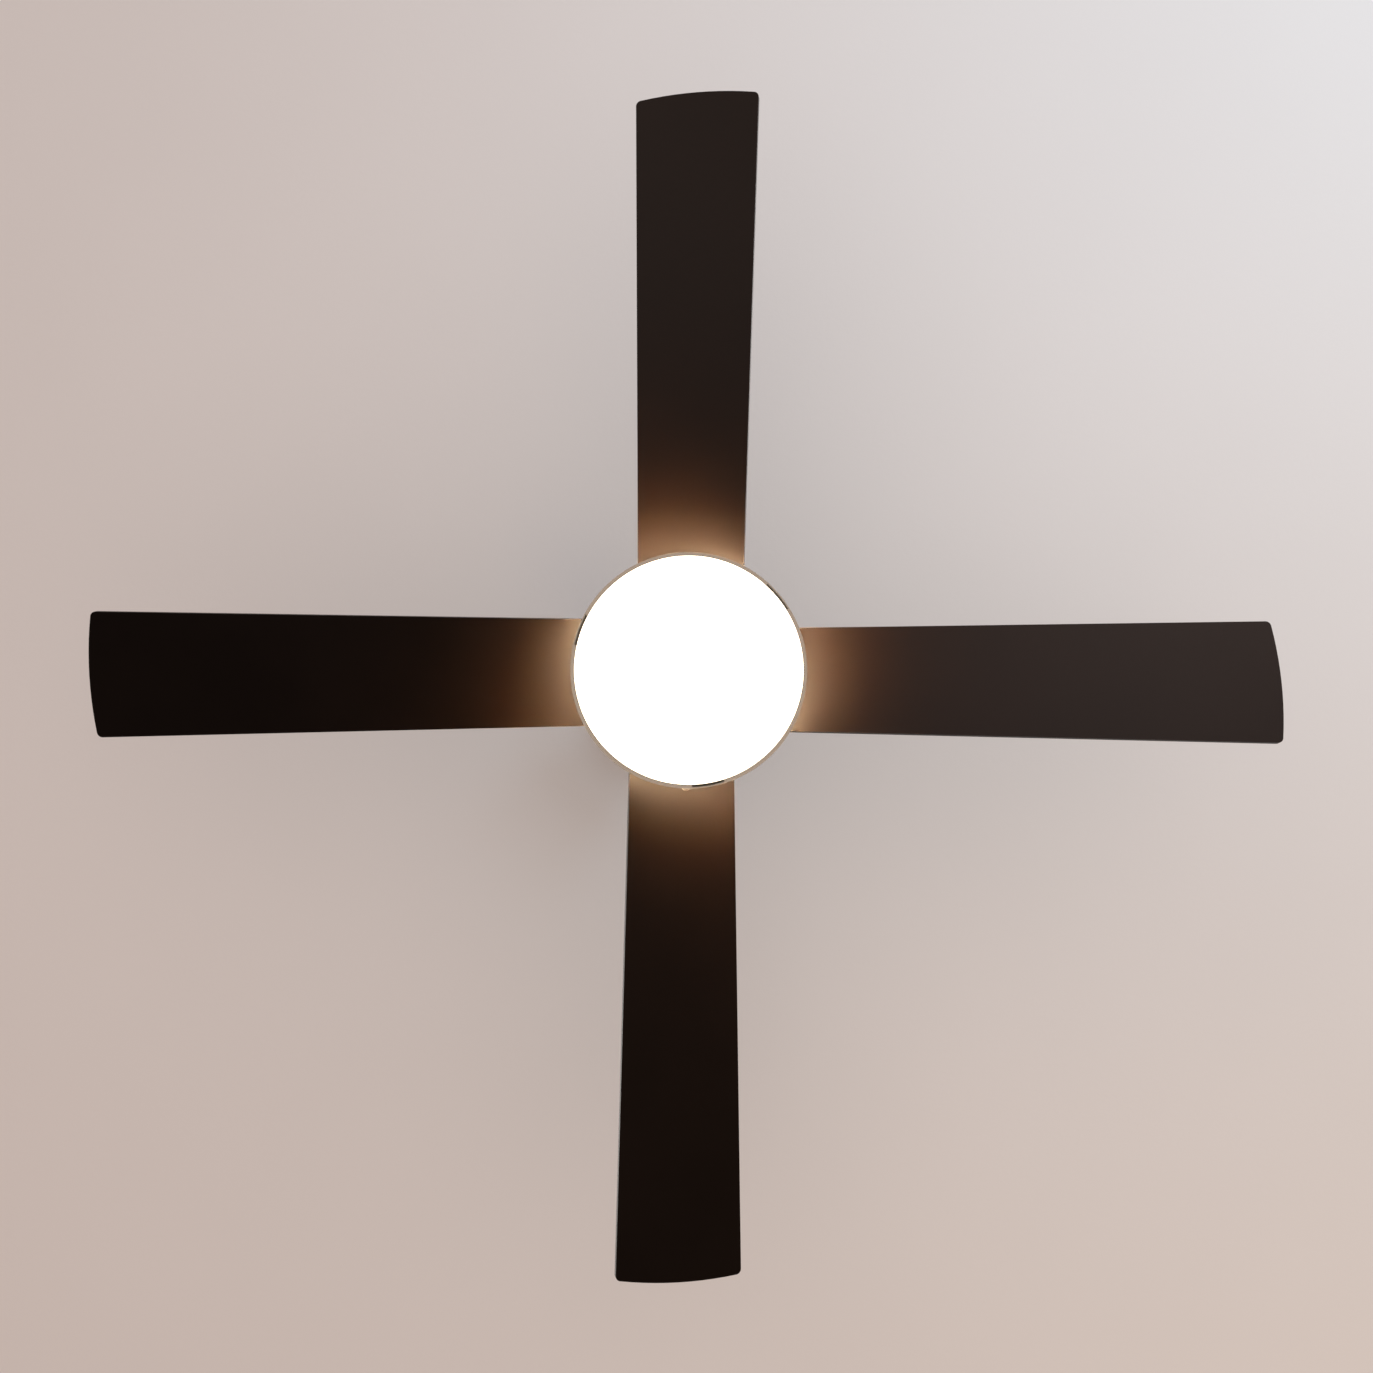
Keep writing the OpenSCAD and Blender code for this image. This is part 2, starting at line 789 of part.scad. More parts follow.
module rod_cross_hole(z) {
    translate([0, 0, z])
        rotate([90, 0, 0])
            cylinder(r = pin_r + seat_gap, h = 3 * rod_d, center = true);
}

module downrod() {
    color(black)
        difference() {
            ring(rod_r, rod_r - rod_t, rod_low_z, rod_top_z);
            rod_cross_hole(cross_pin_z);
            rod_cross_hole(clevis_z);
        }
}

// Two wires down the downrod on both sides of its pins, through the shaft and across to the driver
module wiring_loom() {
    turn_z = loom_low_z + loom_bend;
    color("#cfcac2")
        for (side = [-1, 1])
            translate([side * wire_off, 0, 0]) {
                ring(wire_r, 0, turn_z, rod_top_z);
                translate([0, 0, turn_z])
                    rotate([0, 0, 90])
                        mirror([0, 0, 1])
                            bend(loom_bend);
                translate([0, loom_bend, loom_low_z])
                    rotate([-90, 0, 0])
                        cylinder(r = wire_r, h = driver_y - seat_gap - loom_bend);
            }
}

module motor_coupling() {
    color(zinc)
        difference() {
            union() {
                ring(coupling_r, rod_r + seat_gap, rod_low_z, coupling_top_z);
                ring(coupling_r, shaft_r + seat_gap, flange_low_z, rod_low_z);
                ring(flange_d / 2, shaft_r + seat_gap, flange_low_z, flange_top_z);
            }
            rod_cross_hole(clevis_z);
            translate([0, 0, clevis_z])
                rotate([0, 90, 0])
                    cylinder(r = m5[0] + thread_gap, h = 2 * flange_d, center = true);
            around(cover_screw_count, 45)
                translate([cover_screw_r, 0, flange_low_z - over])
                    cylinder(r = m4[0] + thread_gap, h = flange_t + 2 * over);
        }
}

module clevis_pin() {
    reach = coupling_r + seat_gap;
    head_r = pin_r + 1.5;
    color(steel)
        translate([0, 0, clevis_z])
            rotate([-90, 0, 0])
                difference() {
                    union() {
                        translate([0, 0, -reach])
                            cylinder(r = pin_r, h = 2 * reach + clevis_tail);
                        translate([0, 0, -reach - clevis_head])
                            cylinder(r = head_r, h = clevis_head);
                    }
                    translate([0, 0, reach + clip_back])
                        rotate([0, 90, 0])
                            cylinder(r = clip_r + seat_gap, h = 4 * pin_d, center = true);
                }
}

// A wire clip with one straight leg through the pin and one leg bowed over it
module hairpin_clip() {
    leg_gap = pin_r + clip_r + wire_gap;
    eye_r = leg_gap / 2;
    short_by = 4;
    color(steel)
        translate([0, coupling_r + seat_gap + clip_back, clevis_z])
            rotate([0, 0, -90]) {
                translate([0, clip_l / 2, 0])
                    rotate([90, 0, 0])
                        cylinder(r = clip_r, h = clip_l, $fn = 32);
                translate([0, clip_l / 2, leg_gap])
                    rotate([90, 0, 0])
                        cylinder(r = clip_r, h = clip_l - short_by, $fn = 32);
                translate([0, clip_l / 2, eye_r])
                    rotate([0, 90, 0])
                        rotate_extrude(angle = 180)
                            translate([eye_r, 0])
                                circle(r = clip_r, $fn = 32);
            }
}

module coupling_set_screws() {
    length = coupling_t + 5;
    hex_r = 1.3;
    color("#3a3a3c")
        for (turn = [0, 180])
            rotate([0, 0, turn])
                translate([rod_r + seat_gap / 2, 0, clevis_z])
                    rotate([0, 90, 0])
                        difference() {
                            union() {
                                cylinder(r = m5[0], h = length);
                                translate([0, 0, coupling_t + seat_gap])
                                    cylinder(r = m5[1], h = m5[2], $fn = 6);
                            }
                            translate([0, 0, length - hex_depth])
                                cylinder(r = hex_r, h = hex_depth + over, $fn = 6);
                        }
}

module coupling_cone() {
    rod_gap = 0.6;
    hole_r = rod_r + rod_gap;
    foot = 9;
    lip = 5;
    r = cone_d / 2;
    color(black)
        rotate_extrude($fn = big_fn)
            polygon([
                [hole_r, cone_top_z], [hole_r + lip, cone_top_z],
                [r, cone_low_z + foot], [r, cone_low_z], [r - cone_t, cone_low_z],
                [r - cone_t, cone_low_z + foot - cone_t / 2],
                [hole_r + lip - cone_t, cone_top_z - cone_t], [hole_r, cone_top_z - cone_t]
            ]);
}

// ---- Motor ----

module vent_slot() {
    for (r = [vent_in_r + vent_w / 2, vent_out_r - vent_w / 2])
        translate([r, 0, cover_top_z - 2 * cover_t])
            cylinder(d = vent_w, h = 4 * cover_t, $fn = 32);
    translate([vent_in_r + vent_w / 2, -vent_w / 2, cover_top_z - 2 * cover_t])
        cube([vent_out_r - vent_in_r - vent_w, vent_w, 4 * cover_t]);
}

module motor_cover() {
    color(black)
        difference() {
            rotate_extrude($fn = big_fn)
                difference() {
                    high_drum(cover_r, cover_top_z, cover_low_z, cover_corner);
                    high_drum(cover_r - cover_t, cover_top_z - cover_t, cover_low_z - over,
                              cover_corner - cover_t);
                    translate([0, cover_low_z])
                        square([coupling_r + seat_gap, 2 * rotor_h + over]);
                }
            around(vent_count, 9)
                vent_slot();
            around(cover_screw_count, 45)
                translate([cover_screw_r, 0, cover_top_z - 2 * cover_t])
                    cylinder(r = m4[0] + free_gap, h = 3 * cover_t);
        }
}

module cover_screws() {
    color(zinc)
        around(cover_screw_count, 45)
            translate([cover_screw_r, 0, cover_top_z])
                screw(m4, cover_t + flange_t);
}

module motor_shaft() {
    color(steel)
        difference() {
            ring(shaft_r, shaft_bore / 2, shaft_low_z, shaft_top_z);
            for (side = [0, 1])
                circlip_shape(side, shaft_r - circlip_groove, shaft_r + over, seat_gap);
        }
}

// Clip 0 lies over the upper bearing, and clip 1 under the lower one
module circlip_shape(side, inner, outer, gap) {
    sign = side == 0 ? 1 : -1;
    middle = bearing_zs[side] + sign * (bearing_h / 2 + seat_gap + circlip_t / 2);
    ring(outer, inner, middle - circlip_t / 2 - gap, middle + circlip_t / 2 + gap);
}

module shaft_circlips() {
    color("#3a3a3c")
        difference() {
            for (side = [0, 1])
                circlip_shape(side, shaft_r - circlip_groove + seat_gap, circlip_r, 0);
            translate([0, -circlip_mouth / 2, rotor_low_z - rotor_h])
                cube([shaft_d, circlip_mouth, 3 * rotor_h]);
        }
}

module race(outer, inner) {
    groove_r = bearing_ball_r + bearing_gap;
    for (z = bearing_zs)
        difference() {
            ring(outer, inner, z - bearing_h / 2, z + bearing_h / 2);
            translate([0, 0, z])
                rotate_extrude()
                    translate([bearing_pitch_r, 0])
                        circle(r = groove_r, $fn = 48);
        }
}

module bearing_inner_rings() {
    color(steel)
        race(bearing_pitch_r - race_shoulder, shaft_r + seat_gap);
}

module bearing_outer_rings() {
    color(steel)
        race(bearing_r, bearing_pitch_r + race_shoulder);
}

module bearing_balls() {
    color("#d6d8dc")
        for (z = bearing_zs)
            around(bearing_ball_count)
                translate([bearing_pitch_r, 0, z])
                    sphere(r = bearing_ball_r, $fn = 48);
}

module stator_hub() {
    color("#a8abae")
        ring(hub_r, shaft_r + seat_gap, rotor_mid_z - stator_h / 2, rotor_mid_z + stator_h / 2);
}

module stator_core() {
    yoke_r = hub_r + seat_gap;
    color("#6e6a66")
        translate([0, 0, rotor_mid_z - stator_h / 2])
            linear_extrude(height = stator_h)
                difference() {
                    union() {
                        difference() {
                            circle(r = yoke_r + tooth_ring_t);
                            circle(r = yoke_r);
                        }
                        difference() {
                            circle(r = stator_r);
                            circle(r = stator_r - shoe_t);
                            around(tooth_count, 180 / tooth_count)
                                translate([0, -slot_mouth / 2])
                                    square([stator_d, slot_mouth]);
                        }
                        around(tooth_count)
                            translate([yoke_r + tooth_ring_t / 2, -tooth_w / 2])
                                square([stator_r - shoe_t / 2 - yoke_r - tooth_ring_t / 2, tooth_w]);
                    }
                }
}

module stator_windings() {
    wound_w = tooth_w + 2 * coil_t;
    spare = 2;
    tight_r = wound_w / 2 / tan(180 / tooth_count) + spare;
    start = max(tight_r, hub_r + tooth_ring_t + spare / 2);
    length = stator_r - shoe_t - spare - start;
    color("#b5703a")
        around(tooth_count)
            translate([start, 0, rotor_mid_z])
                difference() {
                    translate([0, -wound_w / 2, -stator_h / 2 - coil_h])
                        cube([length, wound_w, stator_h + 2 * coil_h]);
                    translate([-over, -tooth_w / 2 - seat_gap, -stator_h / 2 - seat_gap])
                        cube([length + 2 * over, tooth_w + 2 * seat_gap, stator_h + 2 * seat_gap]);
                }
}

module sensor_board() {
    color("#2f6b3c")
        ring(stator_r - shoe_t - sensor_in, hub_r + tooth_ring_t, sensor_z, sensor_z + sensor_t);
}

module rotor_shell_profile() {
    lip_w = 2;
    lip_r = bearing_r - lip_w;
    polygon([
        [lip_r, rotor_top_z], [rotor_r, rotor_top_z], [rotor_r, rotor_mid_z], [rotor_in_r, rotor_mid_z],
        [rotor_in_r, rotor_top_z - rotor_t], [bearing_r + bearing_hub_t, rotor_top_z - rotor_t],
        [bearing_r + bearing_hub_t, rotor_top_z - bearing_lip - bearing_h],
        [bearing_r + seat_gap, rotor_top_z - bearing_lip - bearing_h],
        [bearing_r + seat_gap, rotor_top_z - bearing_lip + seat_gap],
        [lip_r, rotor_top_z - bearing_lip + seat_gap]
    ]);
}

module rotor_top() {
    color("#9b9da0")
        difference() {
            rotate_extrude($fn = big_fn)
                rotor_shell_profile();
            around(rotor_screw_count)
                translate([rotor_screw_r, 0, rotor_mid_z - over])
                    cylinder(r = m3[0] + free_gap, h = rotor_h);
        }
}

module rotor_bottom() {
    color("#9b9da0")
        difference() {
            union() {
                translate([0, 0, rotor_top_z + rotor_low_z])
                    mirror([0, 0, 1])
                        rotate_extrude($fn = big_fn)
                            rotor_shell_profile();
                for (i = [1 : blade_count])
                    at_blade(i)
                        for (place = pad_screws)
                            translate([place[0], place[1], rotor_low_z + rotor_t / 2])
                                cylinder(r = boss_r, h = rotor_t / 2 + boss_h);
            }
            around(rotor_screw_count)
                translate([rotor_screw_r, 0, rotor_low_z + rotor_t])
                    cylinder(r = m3[0] + thread_gap, h = rotor_h);
            for (i = [1 : blade_count])
                at_blade(i)
                    for (place = pad_screws)
                        translate([place[0], place[1], rotor_low_z - over])
                            cylinder(r = m5[0] + thread_gap, h = over + rotor_t + boss_h - boss_floor);
        }
}

module rotor_screws() {
    color("#3a3a3c")
        around(rotor_screw_count)
            translate([rotor_screw_r, 0, rotor_top_z])
                screw(m3, rotor_h - rotor_t - 2 * screw_rest);
}

module magnet_ring() {
    color("#55585c")
        ring(yoke_out_r, yoke_in_r, rotor_mid_z - yoke_h / 2, rotor_mid_z + yoke_h / 2);
}

module rotor_magnets() {
    color("#c4c6ca")
        difference() {
            ring(magnet_r + magnet_t, magnet_r, rotor_mid_z - magnet_h / 2, rotor_mid_z + magnet_h / 2);
            around(magnet_count)
                translate([0, -magnet_split / 2, rotor_mid_z - magnet_h])
                    cube([2 * magnet_r, magnet_split, 2 * magnet_h]);
        }
}

// ---- Blades ----

// Half chord at distance u along the blade, to one side of the chord's middle line
function half_chord(u) =
    (chord_root + (chord_tip - chord_root) * (u - blade_root_r) / (tip_u - blade_root_r)) / 2;

// A point on the blade's side edge; side is 1 for the lower edge and -1 for the upper edge
function edge_point(u, side) = [u, chord_offset + side * half_chord(u)];

// Slope angle of the side edge
function edge_angle(side) = side * atan((chord_tip - chord_root) / 2 / (tip_u - blade_root_r));

// Middle of a tip corner: inside the side edge and inside the curved tip edge by the same radius
function corner_mid(side) =
    let (
        slope = edge_angle(side),
        along = [cos(slope), sin(slope)],
        inward = [sin(slope), -cos(slope)] * side,
        from = edge_point(blade_root_r, side) + inward * tip_corner,
        back = from - tip_mid,
        half = back * along,
        rest = back * back - pow(tip_r - tip_corner, 2)
    )
    from + along * (sqrt(half * half - rest) - half);

// The tip corner's sharp piece, outside the rounding
module tip_corner_waste(side) {
    slope = edge_angle(side);
    mid = corner_mid(side);
    outward = [-sin(slope), cos(slope)] * side;
    ray = (mid - tip_mid) / norm(mid - tip_mid);
    reach = 4 * tip_corner;
    difference() {
        polygon([mid, mid + outward * reach, mid + (outward + ray) * reach, mid + ray * reach]);
        translate(mid)
            circle(r = tip_corner + corner_over, $fn = 64);
    }
}

module blade_outline() {
    beyond = tip_u + 40;
    difference() {
        intersection() {
            polygon([
                edge_point(blade_root_r, -1) + [0, root_cut],
                edge_point(blade_root_r, 1) - [0, root_cut],
                edge_point(blade_root_r + root_cut, 1), edge_point(beyond, 1),
                edge_point(beyond, -1), edge_point(blade_root_r + root_cut, -1)
            ]);
            translate(tip_mid)
                circle(r = tip_r, $fn = 360);
        }
        for (side = [-1, 1])
            tip_corner_waste(side);
    }
}

module blade(i) {
    color(black)
        at_blade(i)
            pitched()
                difference() {
                    translate([0, 0, -blade_t / 2])
                        linear_extrude(height = blade_t)
                            blade_outline();
                    for (place = blade_screw_places)
                        translate([place[0], place[1], -blade_t])
                            cylinder(r = m5[0] + free_gap, h = 2 * blade_t);
                }
}

// The slope from the pad down to the blade, cut off flush with the blade's upper face
module holder_web(seat) {
    foot_z = blade_z - holder_pad_w;
    difference() {
        translate([0, holder_pad_w / 2, 0])
            rotate([90, 0, 0])
                linear_extrude(height = holder_pad_w)
                    polygon([
                        [pad_end_r - web_l, rotor_low_z - holder_t],
                        [pad_end_r - web_l, rotor_low_z - seat_gap],
                        [pad_end_r, rotor_low_z - seat_gap],
                        [grip_r + web_l, blade_z + blade_t], [grip_r + web_l, foot_z],
                        [grip_r, foot_z], [grip_r, blade_z + blade_t / 2]
                    ]);
        pitched()
            translate([0, -holder_w, seat - 2 * holder_w])
                cube([2 * grip_r, 2 * holder_w, 2 * holder_w]);
    }
}

module blade_holder(i) {
    seat = blade_t / 2 + seat_gap;
    color(black)
        at_blade(i)
            difference() {
                union() {
                    translate([holder_in_r, -holder_pad_w / 2, rotor_low_z - holder_t])
                        cube([pad_end_r - holder_in_r, holder_pad_w, holder_t - seat_gap]);
                    pitched()
                        translate([grip_r, -holder_w / 2, seat])
                            cube([holder_out_r - grip_r, holder_w, holder_t]);
                    holder_web(seat);
                }
                for (place = pad_screws)
                    translate([place[0], place[1], rotor_low_z - 2 * holder_t])
                        cylinder(r = m5[0] + free_gap, h = 3 * holder_t);
                pitched()
                    for (place = blade_screw_places)
                        translate([place[0], place[1], 0])
                            cylinder(r = m5[0] + thread_gap, h = blade_t + 2 * holder_t);
            }
}

module holder_screws() {
    color(zinc)
        for (i = [1 : blade_count])
            at_blade(i)
                for (place = pad_screws)
                    translate([place[0], place[1], rotor_low_z - holder_t])
                        screw_from_below(m5, holder_t + rotor_t + boss_h - screw_rest);
}

module blade_screws() {
    color(black)
        for (i = [1 : blade_count])
            at_blade(i)
                pitched()
                    for (place = blade_screw_places)
                        translate([place[0], place[1], -blade_t / 2 - washer_t])
                            screw_from_below(m5, washer_t + blade_t + holder_t + screw_rest);
}

module blade_washers() {
    color("#3a3a3c")
        for (i = [1 : blade_count])
            at_blade(i)
                pitched()
                    for (place = blade_screw_places)
                        translate([place[0], place[1], 0])
                            ring(washer_r, m5[0] + free_gap, -blade_t / 2 - washer_t, -blade_t / 2);
}

// ---- Light ----

module light_plate() {
    color(zinc)
        difference() {
            union() {
                ring(plate_r, shaft_r + seat_gap, plate_z - plate_t, plate_z);
                around(lug_count)
                    translate([plate_tab_x - plate_t, -plate_tab_w / 2, plate_z - plate_t - plate_tab_h])
                        cube([plate_t, plate_tab_w, plate_tab_h + plate_t / 2]);
            }
            around(lug_count)
                translate([0, 0, neck_screw_z])
                    rotate([0, 90, 0])
                        cylinder(r = m4[0] + thread_gap, h = neck_d);
        }
}

module shaft_nuts() {
    color(steel)
        for (low = [plate_z + seat_gap, plate_z - plate_t - nut_h])
            translate([0, 0, low])
                difference() {
                    cylinder(r = nut_r, h = nut_h - seat_gap, $fn = 6);
                    translate([0, 0, -over])
                        cylinder(r = shaft_r + thread_gap, h = nut_h + 2 * over);
                }
}

module light_neck() {
    color(black)
        difference() {
            union() {
                ring(neck_r, neck_r - neck_t, pan_top_z + seat_gap, neck_top_z);
                ring(neck_r, neck_mouth_r, pan_top_z + seat_gap, pan_top_z + seat_gap + 2 * neck_t);
            }
            around(lug_count)
                translate([0, 0, neck_screw_z])
                    rotate([0, 90, 0])
                        cylinder(r = m4[0] + free_gap, h = neck_d);
            around(lug_count, pan_screw_turn)
                translate([pan_screw_r, 0, pan_top_z])
                    cylinder(r = m4[0] + thread_gap, h = 4 * neck_t);
        }
}

module neck_screws() {
    color(black)
        around(lug_count)
            translate([neck_r, 0, neck_screw_z])
                rotate([0, 90, 0])
                    screw(m4, neck_r - plate_tab_x + plate_t + screw_rest);
}

module light_pan() {
    color(black)
        difference() {
            union() {
                rotate_extrude($fn = big_fn)
                    difference() {
                        high_drum(pan_r, pan_top_z, pan_low_z, pan_corner);
                        high_drum(pan_r - pan_t, pan_top_z - pan_t, pan_low_z - over, pan_corner - pan_t);
                        translate([0, pan_low_z])
                            square([neck_mouth_r, pan_h + over]);
                    }
                around(lug_count, standoff_turn)
                    translate([standoff_at, 0, tray_z + seat_gap])
                        cylinder(r = standoff_r, h = pan_top_z - pan_t / 2 - tray_z - seat_gap);
            }
            around(lug_count, pan_screw_turn)
                translate([pan_screw_r, 0, pan_top_z - 2 * pan_t])
                    cylinder(r = m4[0] + free_gap, h = 3 * pan_t);
            around(lug_count, standoff_turn)
                translate([standoff_at, 0, tray_z - over])
                    cylinder(r = m4[0] + thread_gap, h = tray_screw_l + screw_rest + over);
        }
}

module pan_screws() {
    color(zinc)
        around(lug_count, pan_screw_turn)
            translate([pan_screw_r, 0, pan_top_z - pan_t])
                screw_from_below(m4, pan_t + 2 * neck_t + screw_rest);
}

module led_driver() {
    color("#e6e4df")
        translate([-driver_l / 2, driver_y, driver_z - driver_h])
            cube([driver_l, driver_w, driver_h]);
    color("#d0cdc6")
        translate([-driver_l / 2 - driver_foot_l, driver_y + (driver_w - driver_foot_w) / 2,
                   driver_z - driver_foot_t])
            cube([driver_l + 2 * driver_foot_l, driver_foot_w, driver_foot_t]);
}

module led_tray() {
    color("#c9cbce")
        difference() {
            union() {
                ring(tray_r, tray_hole_r, tray_z - tray_t, tray_z);
                ring(tray_r, tray_r - tray_t, tray_z - tray_t, tray_z + tray_rim_h);
            }
            around(lug_count, standoff_turn)
                translate([standoff_at, 0, tray_z - 2 * tray_t])
                    cylinder(r = m4[0] + free_gap, h = 3 * tray_t);
        }
}

module tray_screws() {
    color(zinc)
        around(lug_count, standoff_turn)
            translate([standoff_at, 0, tray_z - tray_t])
                screw_from_below(m4, tray_t + tray_screw_l);
}

module led_board() {
    color("#f2f2ee")
        difference() {
            ring(board_r, tray_hole_r, board_z - board_t, board_z);
            around(lug_count, standoff_turn)
                translate([standoff_at, 0, board_z - 2 * board_t])
                    cylinder(r = m4[1] + screw_head_room, h = 3 * board_t);
        }
}

module led_chips() {
    color("#f2d24a")
        for (line = chip_rings)
            around(line[1], chip_turn)
                translate([line[0] - chip_w / 2, -chip_w / 2, board_z - board_t - chip_h])
                    cube([chip_w, chip_w, chip_h]);
}

// The rim under the pan, with notches that let the diffuser's lugs through and a stop beside each lug
module trim_ring() {
    inset = 0.3;
    color("#2b211b")
        difference() {
            union() {
                rotate_extrude($fn = big_fn)
                    polygon([
                        [trim_in_r, pan_low_z - trim_h], [pan_r, pan_low_z - trim_h],
                        [pan_r, pan_low_z - seat_gap], [trim_seat_r, pan_low_z - seat_gap],
                        [trim_seat_r, pan_low_z + trim_seat_h], [trim_in_r, pan_low_z + trim_seat_h]
                    ]);
                around(lug_count, -(lug_angle + stop_angle) / 2 - stop_gap_angle)
                    lug_sector(trim_seat_r - inset, trim_in_r + inset, stop_angle,
                               pan_low_z + inset, lens_top_z);
            }
            around(lug_count, lens_turn)
                lug_sector(trim_seat_r + inset, trim_in_r - over, notch_angle,
                           pan_low_z - trim_h - over, pan_low_z + trim_seat_h + over);
        }
}

// A block of a ring, angle wide, centred on +X
module lug_sector(outer, inner, angle, low, high) {
    wide = outer * 2;
    intersection() {
        ring(outer, inner, low, high);
        translate([0, 0, low])
            linear_extrude(height = high - low)
                polygon([
                    [0, 0], wide * [cos(angle / 2), -sin(angle / 2)], wide * [1, 0],
                    wide * [cos(angle / 2), sin(angle / 2)]
                ]);
    }
}

// Half profile of the solid diffuser, drawn in by inset all round
module lens_profile(inset) {
    r = lens_r - inset;
    dome_r = lens_dome_r - inset;
    middle = [0, dome_z];
    ray = (lens_mid - middle) / norm(lens_mid - middle);
    translate([0, lens_edge_z])
        square([r, lens_top_z - lens_edge_z + inset]);
    intersection() {
        translate(lens_mid)
            circle(r = lens_corner - inset);
        translate([lens_mid[0] - lens_corner, lens_edge_z - lens_corner])
            square([2 * lens_corner, lens_corner + over]);
    }
    intersection() {
        translate(middle)
            circle(r = dome_r, $fn = 720);
        polygon([middle, middle + 2 * dome_r * ray, middle - [0, 2 * dome_r]]);
        translate([0, lens_edge_z - 2 * lens_dome_r])
            square([lens_r, 2 * lens_dome_r]);
    }
}

module diffuser() {
    color("#fff6e0") {
        rotate_extrude($fn = big_fn)
            difference() {
                lens_profile(0);
                lens_profile(lens_t);
            }
        around(lug_count)
            lug_sector(lug_reach, lens_r - lens_t / 2, lug_angle, lug_z, lug_z + lens_lug_h);
    }
}

// ---- Parts ----

hanger_bracket();
ball_liner();
earth_screw();
canopy();
canopy_screws();
receiver_case();
receiver_board();
terminal_block();
fan_lead();
hanger_ball();
cross_pin();
ball_set_screw();
downrod();
wiring_loom();
coupling_cone();
motor_coupling();
clevis_pin();
hairpin_clip();
coupling_set_screws();
motor_cover();
cover_screws();
motor_shaft();
shaft_circlips();
bearing_inner_rings();
stator_hub();
stator_core();
stator_windings();
sensor_board();
bearing_outer_rings();
bearing_balls();
rotor_top();
rotor_bottom();
rotor_screws();
magnet_ring();
rotor_magnets();
for (i = [1 : blade_count]) {
    blade_holder(i);
    blade(i);
}
holder_screws();
blade_screws();
blade_washers();
light_plate();
shaft_nuts();
light_neck();
neck_screws();
light_pan();
pan_screws();
led_driver();
led_tray();
tray_screws();
led_board();
led_chips();
trim_ring();
diffuser();
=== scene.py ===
"""Ceiling fan with light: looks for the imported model, seen from below as in the photograph. Metres."""
import json
import math
import bmesh
import bpy
from mathutils import Matrix, Vector


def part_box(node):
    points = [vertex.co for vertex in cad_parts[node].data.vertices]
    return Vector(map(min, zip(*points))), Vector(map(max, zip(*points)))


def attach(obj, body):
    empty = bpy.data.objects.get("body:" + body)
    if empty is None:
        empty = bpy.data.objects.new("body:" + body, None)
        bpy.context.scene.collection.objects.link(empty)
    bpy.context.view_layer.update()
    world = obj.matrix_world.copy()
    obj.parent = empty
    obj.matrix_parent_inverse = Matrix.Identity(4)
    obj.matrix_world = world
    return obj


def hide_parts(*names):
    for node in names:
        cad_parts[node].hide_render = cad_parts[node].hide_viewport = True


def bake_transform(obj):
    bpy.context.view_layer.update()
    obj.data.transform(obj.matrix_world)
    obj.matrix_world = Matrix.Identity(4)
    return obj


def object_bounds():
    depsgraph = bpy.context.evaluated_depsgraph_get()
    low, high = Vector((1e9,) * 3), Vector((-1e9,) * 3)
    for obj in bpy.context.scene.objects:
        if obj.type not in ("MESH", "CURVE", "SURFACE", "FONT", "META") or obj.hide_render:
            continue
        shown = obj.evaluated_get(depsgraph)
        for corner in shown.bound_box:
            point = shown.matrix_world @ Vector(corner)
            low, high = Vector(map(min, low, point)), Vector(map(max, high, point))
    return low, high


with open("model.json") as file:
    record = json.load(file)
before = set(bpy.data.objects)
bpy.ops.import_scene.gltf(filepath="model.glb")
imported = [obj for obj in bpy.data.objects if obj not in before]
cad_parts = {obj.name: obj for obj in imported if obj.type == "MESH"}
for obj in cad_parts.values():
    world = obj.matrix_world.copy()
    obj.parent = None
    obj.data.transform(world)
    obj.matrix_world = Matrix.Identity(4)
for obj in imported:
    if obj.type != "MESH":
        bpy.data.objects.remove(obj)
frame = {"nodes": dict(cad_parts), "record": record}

CAD_LOW, CAD_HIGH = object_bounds()
NODES = frame["nodes"]
SLOT_OF = {part["node"]: part["material_slot"] for part in frame["record"]["subparts"]}
BLADES = [f"blade_{i}" for i in (1, 2, 3, 4)]
HOLDERS = [f"blade_holder_{i}" for i in (1, 2, 3, 4)]


def middle(node):
    low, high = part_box(node)
    return (low + high) / 2


def show(obj):
    bpy.context.scene.collection.objects.link(obj)


# ---- Materials ----

# The colour sockets of a mix node have no names of their own.
MIX_A, MIX_B, MIX_RESULT = 6, 7, 2
# A wave texture at scale 1 repeats at this length.
WAVE_LENGTH = math.pi / 10


